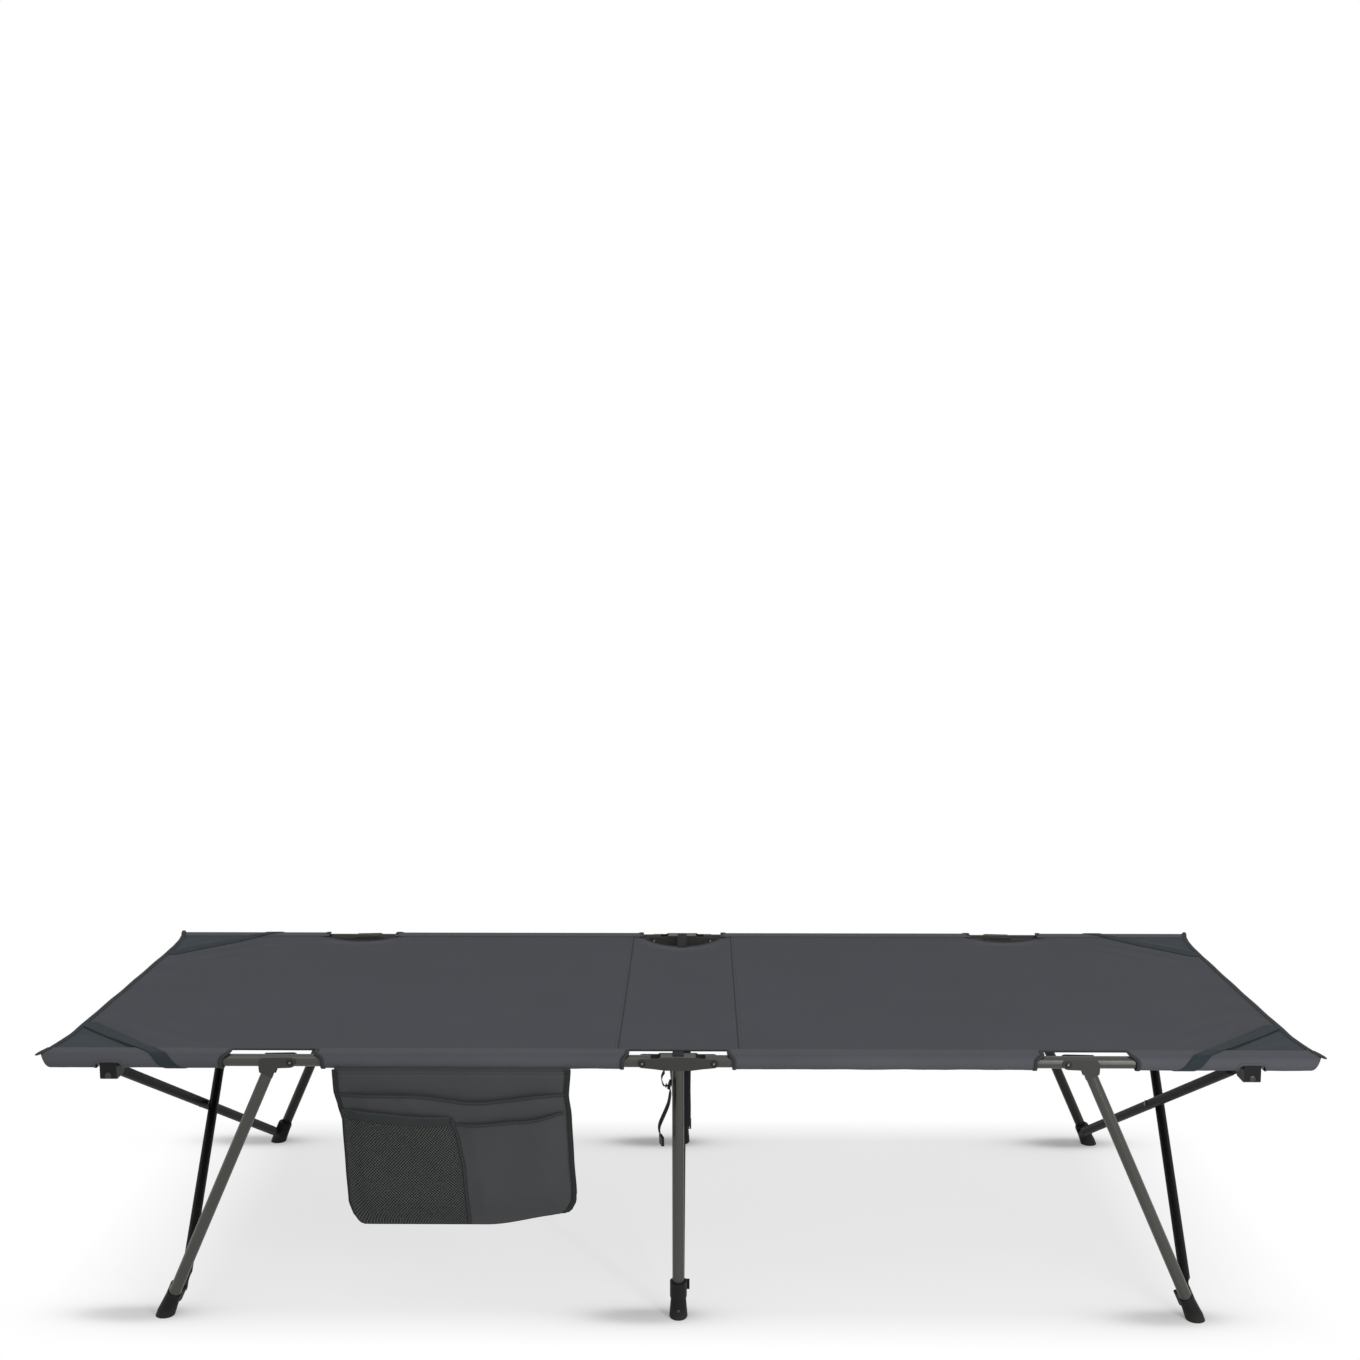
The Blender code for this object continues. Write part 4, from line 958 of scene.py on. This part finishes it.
back_panel = org_cloth("organiser_back", org_left, org_right, lambda x: ORG_TOP,
                       lambda x, z: -0.0002 - 0.0095 * ease((z - 0.3800) / 0.0125) ** 1.5 + 0.0009 *
                       noise.noise((x * 9, z * 9, 2.0)) * ease((ORG_TOP - z) / 0.03), pocket_cloth, 0.0009, 70, 70)
wide_pocket = org_cloth("wide_pocket", org_left, org_right, mouth_wide, belly_wide, pocket_cloth, 0.0009, 90, 56)

net = Finish("pocket_net")
u, v, _ = net.axes(net.place("UV"))
step = math.pi / 0.0046
first = abs(((u + v) * step).sin())
second = abs(((u - v) * step).sin())
strand = (first.below(0.30, 0.14) + second.below(0.30, 0.14)).clip()
tone = net.grain(net.place(), 8.0, 2.0)
# Painted shade: the holes between the strands are filled dark and mostly opaque, for the shade inside the mesh pocket.
net_colour = net.tint((strand * (0.75 + 0.5 * tone)).clip(), (0.008, 0.009, 0.009), (0.085, 0.092, 0.088))
pocket_net = net.shade(base_color=net_colour, roughness=0.62 + strand * 0.1, alpha=0.80 + strand * 0.20,
                       normal=net.bump(strand, 0.5, 0.0004), specular_ior_level=0.3)


def mesh_depth(x, z):
    return belly_small(x, z, org_left(z) + 0.004, divider(z) - 0.003, 5.0)


def plain_depth(x, z):
    return belly_small(x, z, divider(z) + 0.003, org_right(z) - 0.008, 8.0)


mesh_pocket = org_cloth("mesh_pocket", lambda z: org_left(z) + 0.003, lambda z: divider(z) - 0.0025, mouth_mesh,
                        mesh_depth, pocket_net, 0.0006, 48, 44)
plain_pocket = org_cloth("plain_pocket", lambda z: divider(z) + 0.0025, lambda z: org_right(z) - 0.0085, mouth_plain,
                         plain_depth, pocket_cloth, 0.0009, 48, 44)


def pocket_line(name, spots, depth, section, lift=0.0, finish=rim_web):
    """Trim laid along the face of the organiser through (x, z) spots."""
    path = [(x, FACE_Y - depth(x, z) - lift, z) for x, z in spots]
    sweep(name, path, (0, -1, 0), section, finish, "near_left_rail", "side_organiser")


def span(low, high, count, line):
    return [(low + (high - low) * k / count, line(low + (high - low) * k / count)) for k in range(count + 1)]


pocket_line("wide_mouth_tape", span(-0.500, -0.164, 60, lambda x: mouth_wide(x) - 0.0022), belly_wide,
            flat_band(0.0052, 0.0013))
pocket_line("mesh_mouth_band", span(-0.4915, -0.3360, 40, lambda x: mouth_mesh(x) - 0.0065), mesh_depth,
            flat_band(0.0150, 0.0014), 0.0002)
pocket_line("plain_mouth_tape", span(-0.3275, -0.1685, 40, lambda x: mouth_plain(x) - 0.0020), plain_depth,
            flat_band(0.0048, 0.0014), 0.0002)
zs = [0.320 - (0.320 - org_low(-0.31) - 0.003) * k / 30 for k in range(31)]
pocket_line("divider_piping", [(divider(z), z) for z in zs], lambda x, z: belly_wide(x, z) + 0.0016,
            round_band(0.0022, 10), 0.0012)

# Binding round the organiser: down the left edge, along the bottom and up the right edge
ring = [(org_left(z) + 0.0026, z) for z in [ORG_TOP - (ORG_TOP - 0.190) * k / 24 for k in range(25)]]
for k in range(1, 8):
    z = 0.190 - (0.190 - ORG_LOW - 0.0036) * k / 7
    ring.append((org_left(z) + 0.0026 + 0.0012 * k / 7, max(z, org_low(org_left(z)) + 0.0026)))
low_left = ring[-1][0]
for k in range(1, 31):
    x = low_left + (-0.190 - low_left) * k / 30
    ring.append((x, org_low(x) + 0.0036))
for k in range(1, 9):
    z = 0.1740 + (0.200 - 0.1740) * k / 8
    ring.append((org_right(z) - 0.0032, max(z, org_low(org_right(z)) + 0.0028)))
ring += [(org_right(z) - 0.0026, z) for z in [0.203 + (ORG_TOP - 0.203) * k / 24 for k in range(25)]]
edge_tape = woven("organiser_edge_tape", (0.016, 0.017, 0.017), (0.032, 0.034, 0.033), 0.0011, depth=0.6,
                  marks=((1, 0.0060, 0.0003, 0.0030),), thread=(0.055, 0.056, 0.055))
pocket_line("organiser_binding", ring, lambda x, z: 0.0026 + 0.3 * (belly_wide(x, z) - 0.001),
            flat_band(0.0078, 0.0018), -0.0014, edge_tape)
# A strip along the top sews the backing to the sleeve
pocket_line("organiser_head_tape", span(-0.5060, -0.1600, 40, lambda x: ORG_TOP - 0.0060), lambda x, z: -0.0020,
            flat_band(0.0040, 0.0008), 0.0002, pocket_cloth)

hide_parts("side_organiser")

# ----------------------------------------------------------
# Pack strap: the webbing that ties the folded cot. One end hangs in a loop with a small
# buckle and a loose tail beside the near centre leg; the other hangs straight behind the leg.


def smooth_run(points, count):
    """A smooth curve through the points, read at even shares."""
    pts = [Vector(points[0])] + [Vector(p) for p in points] + [Vector(points[-1])]
    line = []
    for k in range(1, len(pts) - 2):
        a, b, c, d = pts[k - 1:k + 3]
        for j in range(count):
            t = j / count
            line.append(0.5 * ((2 * b) + (c - a) * t + (2 * a - 5 * b + 4 * c - d) * t * t +
                               (3 * b - a - 3 * c + d) * t ** 3))
    return line + [pts[-1]]


def length_of(line):
    return sum((b - a).length for a, b in zip(line, line[1:]))


STRAP_Y = -RAIL_Y - 0.0125
tail = smooth_run([(-0.0195, STRAP_Y, 0.3888), (-0.0236, STRAP_Y, 0.3800), (-0.0212, STRAP_Y, 0.3690),
                   (-0.0150, STRAP_Y, 0.3672), (-0.0108, STRAP_Y, 0.3615), (-0.0118, STRAP_Y, 0.3500),
                   (-0.0141, STRAP_Y, 0.3385), (-0.0200, STRAP_Y, 0.3237), (-0.0268, STRAP_Y, 0.3070),
                   (-0.0272, STRAP_Y, 0.2970), (-0.0242, STRAP_Y, 0.2880)], 5)
# The loose tail twists a little towards the front below the buckle
twist = [Vector((-1, -0.08 - 0.17 * ease((0.368 - p.z) / 0.02), 0)) for p in tail]
pack_strap = sweep("pack_strap_tail", tail, twist, flat_band(0.0126, 0.0012), strap_black, "centre_frame",
                   "pack_strap")
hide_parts("pack_strap")
hang = smooth_run([(0.0122, -RAIL_Y + 0.0186, 0.4090), (0.0124, -RAIL_Y + 0.0186, 0.385),
                   (0.0120, -RAIL_Y + 0.0186, 0.350), (0.0124, -RAIL_Y + 0.0186, 0.320),
                   (0.0120, -RAIL_Y + 0.0186, 0.292)], 6)
strap_end = sweep("pack_strap_rear", hang, (0, -1, 0), flat_band(0.0130, 0.0011), strap_black, "centre_frame",
                  "pack_strap_end")
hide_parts("pack_strap_end")
end_tab = sweep("pack_strap_end_tab", [tail[-1] + Vector((0.0003, 0, 0.0020)), tail[-1] + Vector((0.0006, 0, -0.0115))],
                (-1, -0.3, 0), [(-0.0072, -0.0014), (-0.0072, 0.0026), (0.0072, 0.0026), (0.0072, -0.0014)],
                black_plastic, "centre_frame", "pack_strap")
# The ladder buckle: a moulded frame round the webbing with two cross bars
deselect()
bpy.ops.mesh.primitive_cube_add(size=1.0, location=(-0.0124, STRAP_Y, 0.3690), rotation=(0, 0.35, 0))
buckle = bpy.context.object
buckle.name = "pack_strap_buckle"
buckle.scale = (0.0042, 0.0158, 0.0105)
bpy.ops.object.transform_apply(location=False, rotation=False, scale=True)
bpy.ops.object.mode_set(mode="EDIT")
bpy.ops.mesh.select_all(action="SELECT")
bpy.ops.mesh.bevel(offset=0.0009, segments=3, affect="EDGES")
bpy.ops.object.mode_set(mode="OBJECT")
settle(buckle, black_plastic, "centre_frame", "pack_strap")
round(length_of(tail), 4)
round(length_of(hang), 4)
